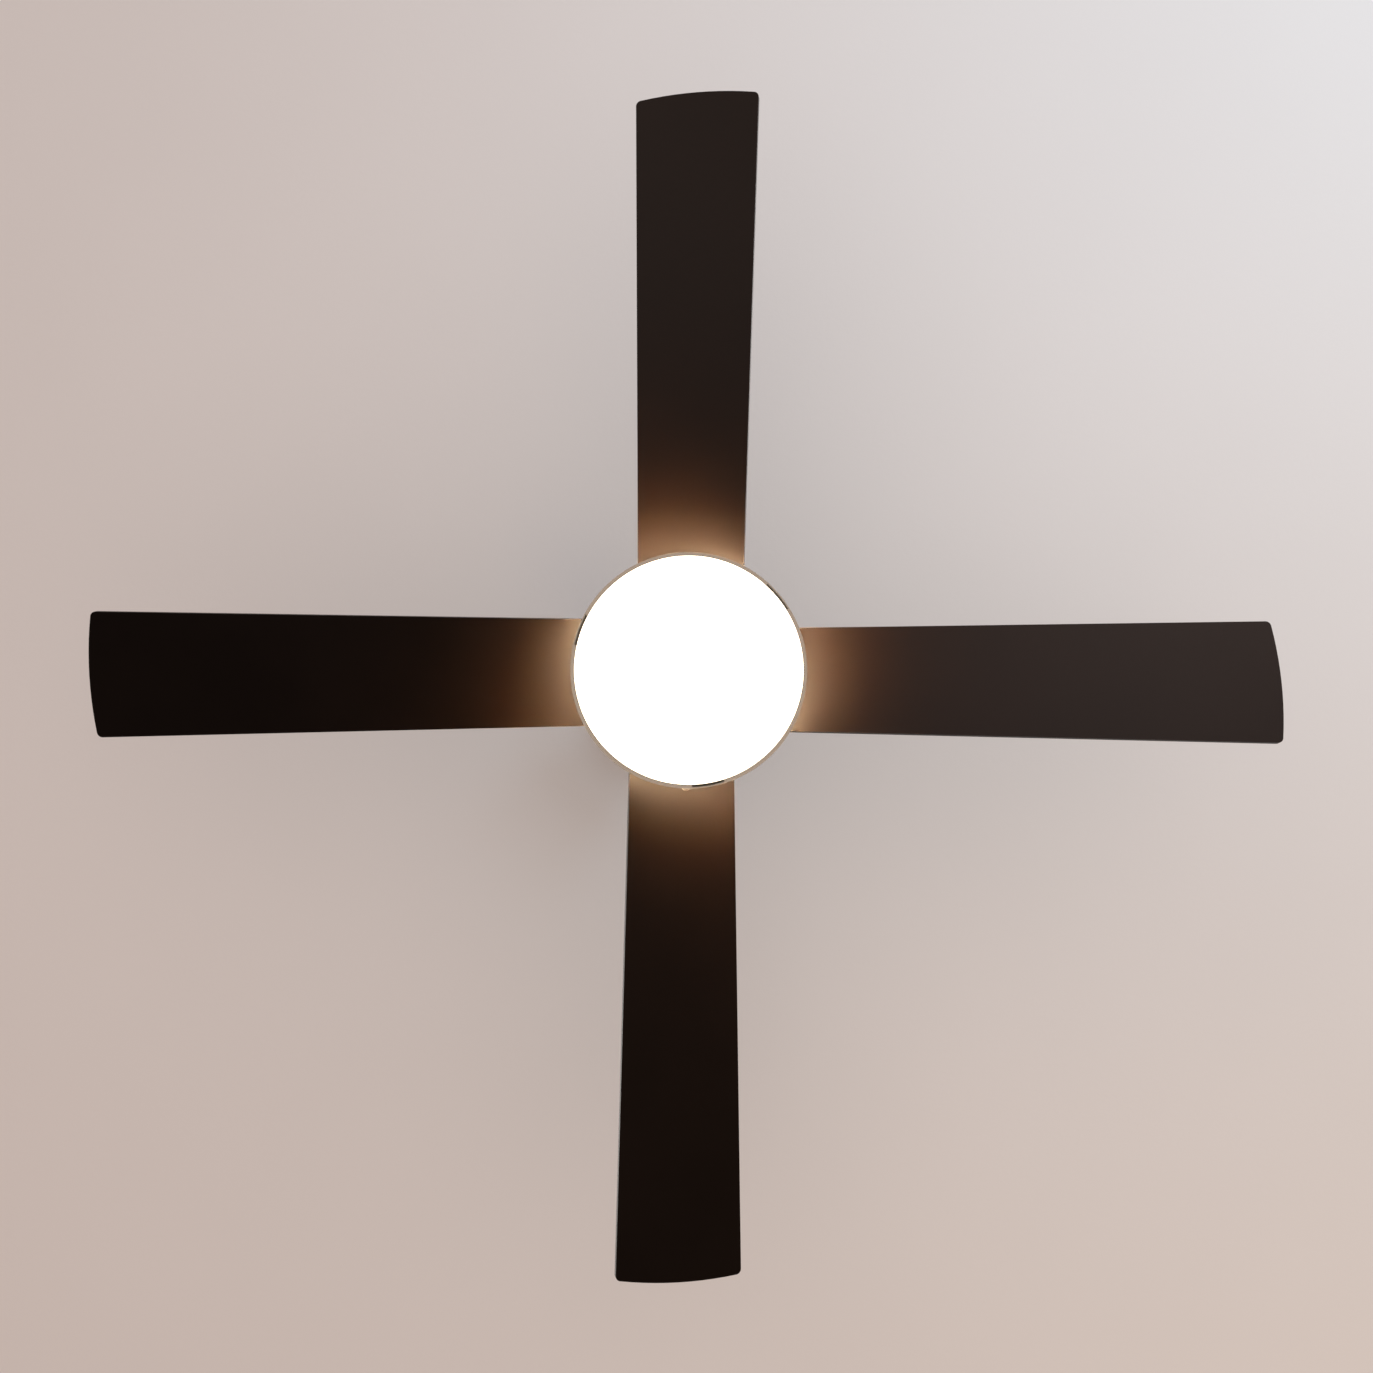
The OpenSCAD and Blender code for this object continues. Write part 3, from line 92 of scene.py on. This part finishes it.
class Nodes:
    """A short way to make and join the nodes of one material."""

    def __init__(self, name):
        self.name = name
        self.material = bpy.data.materials.new(name)
        self.material.use_nodes = True
        self.tree = self.material.node_tree
        self.shader = self.tree.nodes["Principled BSDF"]
        self.out = self.tree.nodes["Material Output"]
        self.coords = self.add("ShaderNodeTexCoord").outputs["Object"]

    def add(self, kind, **values):
        made = self.tree.nodes.new(kind)
        for name, value in values.items():
            setattr(made, name, value)
        return made

    def join(self, a, b):
        self.tree.links.new(a, b)

    def mapped(self, scale):
        """The object's own coordinates, stretched."""
        made = self.add("ShaderNodeMapping")
        made.inputs["Scale"].default_value = scale
        self.join(self.coords, made.inputs["Vector"])
        return made.outputs["Vector"]

    def noise(self, scale, detail=4.0, rough=0.55, coords=None):
        made = self.add("ShaderNodeTexNoise")
        made.inputs["Scale"].default_value = scale
        made.inputs["Detail"].default_value = detail
        made.inputs["Roughness"].default_value = rough
        self.join(coords or self.coords, made.inputs["Vector"])
        return made.outputs["Fac"]

    def bands(self, period):
        """Soft level bands, one above the other."""
        made = self.add("ShaderNodeTexWave", wave_type="BANDS", bands_direction="Z")
        made.inputs["Scale"].default_value = WAVE_LENGTH / period
        made.inputs["Distortion"].default_value = 0.0
        self.join(self.coords, made.inputs["Vector"])
        return made.outputs["Fac"]

    def remap(self, value, low, high, to_low=0.0, to_high=1.0):
        made = self.add("ShaderNodeMapRange")
        made.inputs["From Min"].default_value = low
        made.inputs["From Max"].default_value = high
        made.inputs["To Min"].default_value = to_low
        made.inputs["To Max"].default_value = to_high
        self.join(value, made.inputs["Value"])
        return made.outputs["Result"]

    def times(self, a, b):
        made = self.add("ShaderNodeMath", operation="MULTIPLY")
        self.join(a, made.inputs[0])
        self.join(b, made.inputs[1])
        return made.outputs["Value"]

    def mix(self, factor, a, b):
        """From a to b as the factor grows. Each is a colour or a socket."""
        made = self.add("ShaderNodeMix", data_type="RGBA")
        self.join(factor, made.inputs["Factor"])
        for place, value in ((MIX_A, a), (MIX_B, b)):
            if isinstance(value, tuple):
                made.inputs[place].default_value = (*value, 1.0)
            else:
                self.join(value, made.inputs[place])
        return made.outputs[MIX_RESULT]

    def edges(self, radius):
        """1 along edges, 0 on flat faces: how far a rounded normal leans from the face's own."""
        bevel = self.add("ShaderNodeBevel", samples=4)
        bevel.inputs["Radius"].default_value = radius
        geometry = self.add("ShaderNodeNewGeometry")
        dot = self.add("ShaderNodeVectorMath", operation="DOT_PRODUCT")
        self.join(bevel.outputs["Normal"], dot.inputs[0])
        self.join(geometry.outputs["Normal"], dot.inputs[1])
        return self.remap(dot.outputs["Value"], 0.98, 0.8)

    def bump(self, height, strength, distance):
        made = self.add("ShaderNodeBump")
        made.inputs["Strength"].default_value = strength
        made.inputs["Distance"].default_value = distance
        self.join(height, made.inputs["Height"])
        self.join(made.outputs["Normal"], self.shader.inputs["Normal"])

    def glow(self, strength, colour=None):
        """Light given off. Without a colour, something else is joined to the socket."""
        if colour:
            self.shader.inputs["Emission Color"].default_value = (*colour, 1.0)
        self.shader.inputs["Emission Strength"].default_value = strength


def tint(colour, share):
    return tuple(min(1.0, c * share) for c in colour)


def surface(
    name, colour, rough, metallic=0.0, specular=0.5, clouds=25.0, vary=0.2, second=None, grain=900.0,
    stretch=(1.0, 1.0, 1.0), rough_vary=0.08, bump=0.2, depth=0.0001, worn=None, wear_radius=0.0008,
):
    """A surface with slow colour clouds, a fine grain in its gloss and relief, and worn edges.

    clouds and grain are the scales of the two noises. The colour varies by the share vary, or runs
    to the second colour. worn is the colour of the edges, and they wear over wear_radius.
    """
    n = Nodes(name)
    sockets = n.shader.inputs
    slow = n.remap(n.noise(clouds, 3.0), 0.35, 0.65)
    fine = n.noise(grain, 5.0, 0.6, n.mapped(stretch))
    base = n.mix(slow, tint(colour, 1 - vary), second or tint(colour, 1 + vary))
    base = n.mix(n.remap(fine, 0.3, 0.7, 0.0, 0.5), base, tint(colour, 1 - vary / 2))
    if worn:
        mask = n.times(n.edges(wear_radius), n.remap(n.noise(clouds * 8), 0.42, 0.62))
        base = n.mix(mask, base, worn)
    n.join(base, sockets["Base Color"])
    n.join(n.remap(fine, 0.2, 0.8, rough - rough_vary, rough + rough_vary), sockets["Roughness"])
    sockets["Metallic"].default_value = metallic
    sockets["Specular IOR Level"].default_value = specular
    n.bump(fine, bump, depth)
    return n


def laminated():
    """Stacked steel sheets: dark lines between bright sheet edges."""
    sheet = 0.0005
    n = surface("core_steel", (0.20, 0.19, 0.18), 0.42, 0.9, grain=600.0, bump=0.1)
    lines = n.remap(n.bands(sheet), 0.05, 0.3)
    steel = n.shader.inputs["Base Color"].links[0].from_socket
    n.join(n.mix(lines, (0.03, 0.026, 0.022), steel), n.shader.inputs["Base Color"])
    n.bump(lines, 0.5, 0.0001)
    return n


def board(name, mask, track, pitch):
    """Solder mask over tracks, which stand a little proud and show lighter."""
    n = Nodes(name)
    bricks = n.add("ShaderNodeTexBrick", offset=0.37, squash=0.7, squash_frequency=3)
    bricks.inputs["Scale"].default_value = 1.0
    bricks.inputs["Brick Width"].default_value = pitch * 3
    bricks.inputs["Row Height"].default_value = pitch
    bricks.inputs["Mortar Size"].default_value = pitch * 0.08
    bricks.inputs["Mortar Smooth"].default_value = 0.2
    n.join(n.coords, bricks.inputs["Vector"])
    tracks = bricks.outputs["Fac"]
    base = n.mix(n.remap(n.noise(60.0), 0.35, 0.65), tint(mask, 0.85), tint(mask, 1.12))
    n.join(n.mix(tracks, base, track), n.shader.inputs["Base Color"])
    n.join(n.remap(n.noise(800.0), 0.2, 0.8, 0.24, 0.4), n.shader.inputs["Roughness"])
    n.bump(tracks, 0.4, 0.00004)
    return n


def opal():
    """Lit opal plastic. The board behind it fills the disc, so it glows evenly and dims at its edge."""
    dim_width = 0.007
    n = surface("opal_lens", (0.93, 0.90, 0.84), 0.38, clouds=12.0, vary=0.03, grain=1400.0, bump=0.05)
    radius = n.add("ShaderNodeVectorMath", operation="LENGTH")
    n.join(n.mapped((1.0, 1.0, 0.0)), radius.inputs[0])
    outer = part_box("diffuser")[1].x
    edge = n.remap(radius.outputs["Value"], outer - dim_width, outer)
    n.join(n.mix(edge, (1.0, 0.86, 0.68), (0.27, 0.225, 0.17)), n.shader.inputs["Emission Color"])
    n.glow(4.0)
    return n


def phosphor():
    """The lit yellow domes of the LEDs."""
    n = surface("led_phosphor", (0.85, 0.68, 0.16), 0.3, clouds=400.0, vary=0.1)
    n.glow(1.5, (1.0, 0.85, 0.6))
    return n


MADE = (
    surface(
        "blade_black", (0.0056, 0.0025, 0.0012), 0.5, specular=0.42, clouds=9.0, vary=0.16,
        grain=1500.0, bump=0.12, depth=0.00006, worn=(0.03, 0.025, 0.02), wear_radius=0.0012,
    ),
    surface(
        "black_paint", (0.014, 0.0115, 0.010), 0.46, specular=0.4, clouds=14.0, vary=0.18,
        grain=1100.0, bump=0.25, depth=0.00008, worn=(0.045, 0.038, 0.032),
    ),
    surface(
        "zinc_plate", (0.52, 0.53, 0.54), 0.36, 0.95, clouds=60.0, vary=0.14, grain=500.0, bump=0.08,
        worn=(0.7, 0.7, 0.7), second=(0.56, 0.55, 0.47),
    ),
    surface(
        "bright_steel", (0.62, 0.63, 0.65), 0.24, 1.0, clouds=40.0, vary=0.08, grain=300.0,
        stretch=(1, 1, 12), bump=0.06, worn=(0.78, 0.78, 0.79),
    ),
    surface(
        "bearing_steel", (0.72, 0.73, 0.75), 0.12, 1.0, clouds=80.0, vary=0.05, rough_vary=0.04,
        bump=0.02,
    ),
    surface(
        "black_oxide", (0.045, 0.045, 0.048), 0.4, 0.6, clouds=90.0, vary=0.25, bump=0.1,
        worn=(0.34, 0.32, 0.30),
    ),
    surface(
        "ball_plastic", (0.028, 0.026, 0.024), 0.42, clouds=40.0, grain=1600.0, bump=0.15,
        worn=(0.08, 0.075, 0.07),
    ),
    surface(
        "white_nylon", (0.80, 0.78, 0.72), 0.4, clouds=45.0, vary=0.05, grain=1200.0, bump=0.1,
        worn=(0.86, 0.84, 0.8),
    ),
    surface(
        "receiver_plastic", (0.033, 0.030, 0.028), 0.55, clouds=30.0, grain=1700.0, bump=0.35,
        worn=(0.07, 0.066, 0.06),
    ),
    surface(
        "driver_plastic", (0.78, 0.77, 0.73), 0.45, clouds=30.0, vary=0.04, grain=1500.0, bump=0.25,
        worn=(0.86, 0.85, 0.82),
    ),
    board("circuit_green", mask=(0.02, 0.13, 0.045), track=(0.05, 0.26, 0.10), pitch=0.004),
    board("circuit_white", mask=(0.84, 0.84, 0.81), track=(0.66, 0.66, 0.62), pitch=0.012),
    surface(
        "earth_green", (0.10, 0.30, 0.07), 0.4, 0.3, clouds=120.0, grain=700.0, bump=0.08,
        worn=(0.5, 0.42, 0.2),
    ),
    surface(
        "copper_wire", (0.62, 0.25, 0.10), 0.28, 0.9, clouds=150.0, vary=0.18, bump=0.05,
        second=(0.50, 0.17, 0.06),
    ),
    laminated(),
    surface(
        "magnet_nickel", (0.55, 0.54, 0.52), 0.22, 1.0, clouds=120.0, vary=0.08, grain=700.0, bump=0.04,
        worn=(0.70, 0.69, 0.67),
    ),
    surface(
        "cast_aluminium", (0.56, 0.57, 0.58), 0.48, 0.9, clouds=50.0, vary=0.12, grain=420.0, bump=0.45,
        depth=0.00018, worn=(0.74, 0.75, 0.76),
    ),
    surface(
        "sheet_aluminium", (0.70, 0.71, 0.72), 0.3, 0.95, clouds=30.0, vary=0.06, grain=250.0,
        stretch=(14, 1, 1), bump=0.06, worn=(0.82, 0.82, 0.83),
    ),
    surface("wire_jacket", (0.60, 0.57, 0.52), 0.42, clouds=120.0, vary=0.07, bump=0.1),
    phosphor(),
    opal(),
)
MATERIALS = {made.name: made.material for made in MADE}


def coat(obj, slot):
    obj.data.materials.clear()
    obj.data.materials.append(MATERIALS[slot])


# ---- Edges of the CAD pieces ----

# Width of the rounding on each kind of piece. Pieces left out keep their own edges.
ROUNDING = {
    0.0012: BLADES,
    0.0008: HOLDERS + [
        "rotor_top", "rotor_bottom", "motor_coupling", "terminal_block", "receiver_case", "led_driver",
    ],
    0.0004: [
        "hanger_bracket", "hanger_ball", "light_plate", "shaft_nuts", "stator_hub", "light_neck",
        "downrod",
    ],
    0.0003: [
        "canopy", "motor_cover", "light_pan", "coupling_cone", "ball_liner", "magnet_ring",
        "rotor_magnets", "bearing_inner_rings", "bearing_outer_rings", "motor_shaft", "cross_pin",
        "clevis_pin", "led_tray", "trim_ring",
    ],
    0.0002: [
        "canopy_screws", "cover_screws", "neck_screws", "pan_screws", "tray_screws", "holder_screws",
        "blade_screws", "blade_washers", "rotor_screws", "coupling_set_screws", "ball_set_screw",
        "earth_screw", "shaft_circlips", "receiver_board", "sensor_board", "led_board",
    ],
}
# Roundings wider than this one get a third step.
FINE_ROUNDING = 0.001
WELD_DISTANCE = 0.000002
FLAT_ANGLE = math.radians(0.15)
SHARP_ANGLE = math.radians(40)


def round_edges(obj, width):
    """Joins the shell's split faces, then rounds the sharp edges."""
    weld = obj.modifiers.new("weld", "WELD")
    weld.merge_threshold = WELD_DISTANCE
    flats = obj.modifiers.new("flats", "DECIMATE")
    flats.decimate_type = "DISSOLVE"
    flats.angle_limit = FLAT_ANGLE
    bevel = obj.modifiers.new("bevel", "BEVEL")
    bevel.width = width
    bevel.segments = 3 if width > FINE_ROUNDING else 2
    bevel.limit_method = "ANGLE"
    bevel.angle_limit = SHARP_ANGLE
    bevel.use_clamp_overlap = True
    bevel.harden_normals = False
    normals = obj.modifiers.new("normals", "WEIGHTED_NORMAL")
    normals.keep_sharp = False
    normals.weight = 60


for name, obj in NODES.items():
    coat(obj, SLOT_OF[name])
for width, names in ROUNDING.items():
    for name in names:
        round_edges(NODES[name], width)


# ---- New pieces ----


def mesh_object(name, bm):
    mesh = bpy.data.meshes.new(name)
    bm.to_mesh(mesh)
    bm.free()
    obj = bpy.data.objects.new(name, mesh)
    show(obj)
    return obj


def smooth_piece(name, bm, slot):
    obj = mesh_object(name, bm)
    for face in obj.data.polygons:
        face.use_smooth = True
    coat(obj, slot)
    return obj


def smooth_line(points, bend, steps):
    """The points with each corner rounded, from that distance before it to that distance after."""
    line = [Vector(points[0])]
    for before, corner, after in zip(points, points[1:], points[2:]):
        corner = Vector(corner)
        start = corner - (corner - Vector(before)).normalized() * bend
        end = corner + (Vector(after) - corner).normalized() * bend
        for i in range(steps + 1):
            t = i / steps
            line.append(start * (1 - t) ** 2 + corner * (2 * t * (1 - t)) + end * t**2)
    line.append(Vector(points[-1]))
    return line


def finer_line(line, step):
    """The line with more points, about that far apart."""
    dense = []
    for a, b in zip(line, line[1:]):
        parts = max(1, int((b - a).length / step))
        dense += [a.lerp(b, k / parts) for k in range(parts)]
    dense.append(line[-1])
    return dense


def tube(bm, line, radius, sides, closed=False):
    """Sweeps a round section along a line. A closed line has no ends, and others are capped."""
    count = len(line)
    rings = []
    normal = None
    for i, p in enumerate(line):
        if closed:
            ahead = line[(i + 1) % count] - line[i - 1]
        else:
            ahead = line[min(i + 1, count - 1)] - line[max(i - 1, 0)]
        ahead.normalize()
        if normal is None:
            normal = ahead.orthogonal().normalized()
        normal = (normal - ahead * normal.dot(ahead)).normalized()
        side = ahead.cross(normal)
        rings.append([
            bm.verts.new(p + (normal * math.cos(a) + side * math.sin(a)) * radius)
            for a in (2 * math.pi * k / sides for k in range(sides))
        ])
    pairs = list(zip(rings, rings[1:])) + ([(rings[-1], rings[0])] if closed else [])
    for low, high in pairs:
        for k in range(sides):
            bm.faces.new((low[k], low[(k + 1) % sides], high[(k + 1) % sides], high[k]))
    if not closed:
        bm.faces.new(list(reversed(rings[0])))
        bm.faces.new(rings[-1])


def fan_lead():
    """Two wires from the downrod to the receiver, with rounded bends at their corners."""
    wire_r = 0.00138
    inset = wire_r + 0.00002
    bend = 0.0045
    rise = 0.0062
    into_case = 0.0016
    low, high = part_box("fan_lead")
    run_z = low.z + rise
    case_z = high.z - inset
    far_y = low.y + inset
    case_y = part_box("receiver_case")[0].y + into_case
    bm = bmesh.new()
    for x in (inset - high.x, high.x - inset):
        route = [
            (x, 0, low.z), (x, 0, run_z), (x, far_y, run_z), (x, far_y, case_z), (x, case_y, case_z),
        ]
        line = finer_line(smooth_line(route, bend, steps=8), step=0.002)
        tube(bm, line, wire_r, sides=14)
    obj = smooth_piece("lead_wires", bm, "wire_jacket")
    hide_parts("fan_lead")
    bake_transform(obj)


def wound_range():
    """Inner and outer radius of the CAD coil on the tooth that lies along +X."""
    coil_half_y = 0.0081
    corners = [v.co for v in NODES["stator_windings"].data.vertices]
    along_x = [co.x for co in corners if co.x > 0 and abs(co.y) < coil_half_y]
    return min(along_x), max(along_x)


def coil_turn(r, half_y, half_z, corner):
    """One turn of wire: a rectangle with rounded corners, around the X axis at that radius."""
    loop = []
    for quarter, (side_y, side_z) in enumerate(((1, 1), (-1, 1), (-1, -1), (1, -1))):
        for step in range(4):
            a = (quarter + step / 3) * math.pi / 2
            y = side_y * (half_y - corner) + corner * math.cos(a)
            z = side_z * (half_z - corner) + corner * math.sin(a)
            loop.append(Vector((r, y, z)))
    return loop


def windings():
    """Enamelled wire wound in two layers on each tooth."""
    teeth = 12
    tooth_half_y = 0.004
    tooth_corner = 0.0012
    insulation = 0.0002
    wire_r = 0.00075
    layer_rise = 1.8 * wire_r
    core_low, core_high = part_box("stator_core")
    core_half_z = (core_high.z - core_low.z) / 2
    core_middle = Matrix.Translation((0, 0, middle("stator_core").z))
    inner_r, outer_r = wound_range()
    turns = int((outer_r - inner_r) / (2 * wire_r))
    bm = bmesh.new()
    for tooth in range(teeth):
        place = core_middle @ Matrix.Rotation(2 * math.pi * tooth / teeth, 4, "Z")
        for layer in (0, 1):
            out = insulation + wire_r + layer_rise * layer
            corner = tooth_corner + wire_r * layer
            for k in range(turns - layer):
                r = inner_r + wire_r * (1 + 2 * k + layer)
                loop = coil_turn(r, tooth_half_y + out, core_half_z + out, corner)
                tube(bm, [place @ p for p in loop], wire_r * 0.98, sides=6, closed=True)
    obj = smooth_piece("coils", bm, "copper_wire")
    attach(obj, "hanging")
    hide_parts("stator_windings")


fan_lead()
windings()


# ---- Ceiling and floor ----

STAGE_WIDTH = 400.0
CEILING_GAP = 0.0006
FLOOR_DROP = 2.4


def plaster(name, colour, one_sided=False):
    """Painted plaster with roller marks. A one-sided sheet is seen through from its back."""
    n = Nodes(name)
    sockets = n.shader.inputs
    slow = n.remap(n.noise(1.6, 3.0), 0.3, 0.7)
    n.join(n.mix(slow, tint(colour, 0.985), tint(colour, 1.01)), sockets["Base Color"])
    sockets["Roughness"].default_value = 0.9
    sockets["Specular IOR Level"].default_value = 0.1
    n.bump(n.noise(70.0, 6.0, 0.6), 0.18, 0.0015)
    if one_sided:
        geometry = n.add("ShaderNodeNewGeometry")
        clear = n.add("ShaderNodeBsdfTransparent")
        both = n.add("ShaderNodeMixShader")
        n.join(geometry.outputs["Backfacing"], both.inputs["Fac"])
        n.join(n.shader.outputs["BSDF"], both.inputs[1])
        n.join(clear.outputs["BSDF"], both.inputs[2])
        n.join(both.outputs["Shader"], n.out.inputs["Surface"])
    return n.material


def sheet(name, z, faces_down, material):
    """A wide level sheet of the stage."""
    half = STAGE_WIDTH / 2
    corners = [(-half, -half), (half, -half), (half, half), (-half, half)]
    if faces_down:
        corners.reverse()
    bm = bmesh.new()
    bm.faces.new([bm.verts.new((x, y, z)) for x, y in corners])
    obj = mesh_object(name, bm)
    obj.data.materials.append(material)
    return obj


ceiling_paint = plaster("ceiling_plaster", (0.76, 0.70, 0.665), one_sided=True)
ceiling = sheet("ceiling", CAD_HIGH.z + CEILING_GAP, True, ceiling_paint)
floor_paint = plaster("floor_plaster", (0.74, 0.71, 0.68))
floor = sheet("floor", CAD_HIGH.z - FLOOR_DROP, False, floor_paint)
floor.visible_diffuse = False
floor.visible_glossy = False
floor.visible_shadow = False


# ---- Lights ----

# Light on the ceiling is kept apart from light on the fan, so that each can match the photograph.
HUB = Vector((0, 0, middle("blade_1").z))
LAMPS_DROP = 1.9
LAMPS_Z = CAD_HIGH.z - LAMPS_DROP


def group(name, objs):
    made = bpy.data.collections.new(name)
    for obj in objs:
        made.objects.link(obj)
    return made


def only_lights(light, objs):
    """The light reaches those objects and no others."""
    light.light_linking.receiver_collection = group(light.name + "_reaches", objs)


def spares(light, objs):
    """The light reaches everything but those objects."""
    only_lights(light, objs)
    for member in light.light_linking.receiver_collection.collection_objects:
        member.light_linking.link_state = "EXCLUDE"


def area_light(name, place, aim, size, power, colour, size_y=None):
    """An unseen soft light. A disk when size_y is left out."""
    data = bpy.data.lights.new(name, "AREA")
    data.shape = "RECTANGLE" if size_y else "DISK"
    data.size = size
    if size_y:
        data.size_y = size_y
    data.energy = power
    data.color = colour
    obj = bpy.data.objects.new(name, data)
    obj.location = place
    obj.rotation_euler = (Vector(aim) - Vector(place)).to_track_quat("-Z", "Y").to_euler()
    obj.visible_camera = False
    show(obj)
    return obj


def ceiling_lights():
    """A cool window and a warm lamp, for the ceiling alone. The blades don't shade it."""
    window = area_light(
        "window", (-1.4, 1.4, LAMPS_Z), (-1.2, 1.2, 0), size=1.3, size_y=1.3, power=31,
        colour=(0.55, 0.81, 1.0),
    )
    lamp = area_light(
        "lamp", (-1.3, -1.4, LAMPS_Z), (-1.1, -1.1, 0), size=1.0, power=5, colour=(1.0, 0.78, 0.44),
    )
    casts = group("casts_on_ceiling", [NODES[n] for n in ("canopy", "downrod", "coupling_cone")])
    for light in (window, lamp):
        only_lights(light, [ceiling])
        light.light_linking.blocker_collection = casts


def gloss_lights():
    """The gloss on the fan comes from the same sides as the light on the ceiling."""
    gloss = area_light(
        "gloss", (-1.5, 1.5, LAMPS_Z), (-0.3, 0.2, -0.3), size=1.5, size_y=1.5, power=17,
        colour=(1.0, 0.76, 0.69),
    )
    side = area_light(
        "side", (0.9, 1.5, LAMPS_Z), (0, 0.4, -0.3), size=1.2, size_y=1.2, power=5.4,
        colour=(1.0, 0.74, 0.64),
    )
    ember = area_light(
        "ember", (-0.9, -0.9, LAMPS_Z), (0, -0.4, -0.3), size=1.0, power=0.6, colour=(1.0, 0.45, 0.14),
    )
    for light in (gloss, side, ember):
        spares(light, [ceiling, floor])


def upper_lights():
    """Soft light from above and from the sides, for the housing and the blades' upper faces."""
    fan = group("fan_pieces", NODES.values())
    housing = [obj for name, obj in NODES.items() if name not in BLADES + ["trim_ring", "diffuser"]]
    for name, x, y in (("front", 1, -1), ("back", -1, 1)):
        top = area_light(
            "top_" + name, (2.2 * x, 0.9 * y, 1.5), HUB, size=1.6, size_y=1.6, power=34,
            colour=(1.0, 0.96, 0.92),
        )
        spares(top, [ceiling, floor])
        flank = area_light(
            "flank_" + name, (2.3 * x, 2.3 * y, -0.55), HUB, size=1.6, size_y=1.0, power=30,
            colour=(1.0, 0.95, 0.91),
        )
        only_lights(flank, housing)
        for light in (top, flank):
            light.light_linking.blocker_collection = fan


def lens_haze():
    """Warm light over the blade roots and the trim ring, as the photograph's haze shows it."""
    roots = [NODES[n] for n in BLADES + HOLDERS + ["blade_screws", "blade_washers"]]
    for name, drop, size, power in (("glow", 0.085, 0.30, 8), ("near_glow", 0.034, 0.26, 74)):
        place = HUB + Vector((-0.001, 0.003, -drop))
        haze = area_light(name, place, place + Vector((0, 0, 1)), size, power, (1.0, 0.715, 0.42))
        only_lights(haze, roots)
        haze.visible_glossy = False
        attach(haze, "hanging")
    rim_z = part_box("trim_ring")[0].z
    rim = area_light("rim", (0, 0, rim_z - 0.25), (0, 0, rim_z), 0.6, 11, (1.0, 0.80, 0.62))
    only_lights(rim, [NODES["trim_ring"]])
    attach(rim, "hanging")


def room():
    """Light from all around. Glossy surfaces mirror a darker room than the one that lights them."""
    world = bpy.data.worlds.new("room")
    bpy.context.scene.world = world
    world.use_nodes = True
    tree = world.node_tree
    bright = tree.nodes["Background"]
    bright.inputs["Color"].default_value = (0.665, 0.567, 0.527, 1.0)
    dim = tree.nodes.new("ShaderNodeBackground")
    dim.inputs["Color"].default_value = (0.042, 0.022, 0.015, 1.0)
    ray = tree.nodes.new("ShaderNodeLightPath")
    either = tree.nodes.new("ShaderNodeMixShader")
    tree.links.new(ray.outputs["Is Glossy Ray"], either.inputs["Fac"])
    tree.links.new(bright.outputs["Background"], either.inputs[1])
    tree.links.new(dim.outputs["Background"], either.inputs[2])
    tree.links.new(either.outputs["Shader"], tree.nodes["World Output"].inputs["Surface"])


ceiling_lights()
gloss_lights()
upper_lights()
lens_haze()
room()
bpy.context.scene.view_settings.view_transform = "Standard"


# ---- Camera ----


def photo_camera():
    """The photograph's viewpoint: from below, nearly straight up, with the fan a little off centre."""
    data = bpy.data.cameras.new("camera")
    data.sensor_width = 36.0
    data.lens = 31.46395
    data.shift_x = 0.0286235
    data.shift_y = 0.018354
    data.clip_start = 0.05
    right = Vector((-0.99998, 0.00625, -0.00209))
    up = Vector((0.00633, 0.99919, -0.03964))
    axes = Matrix((right, up, right.cross(up))).transposed()
    obj = bpy.data.objects.new("camera", data)
    obj.matrix_world = Matrix.Translation(HUB + Vector((0.0451, -0.0929, -1.32788))) @ axes.to_4x4()
    show(obj)
    bpy.context.scene.camera = obj


photo_camera()
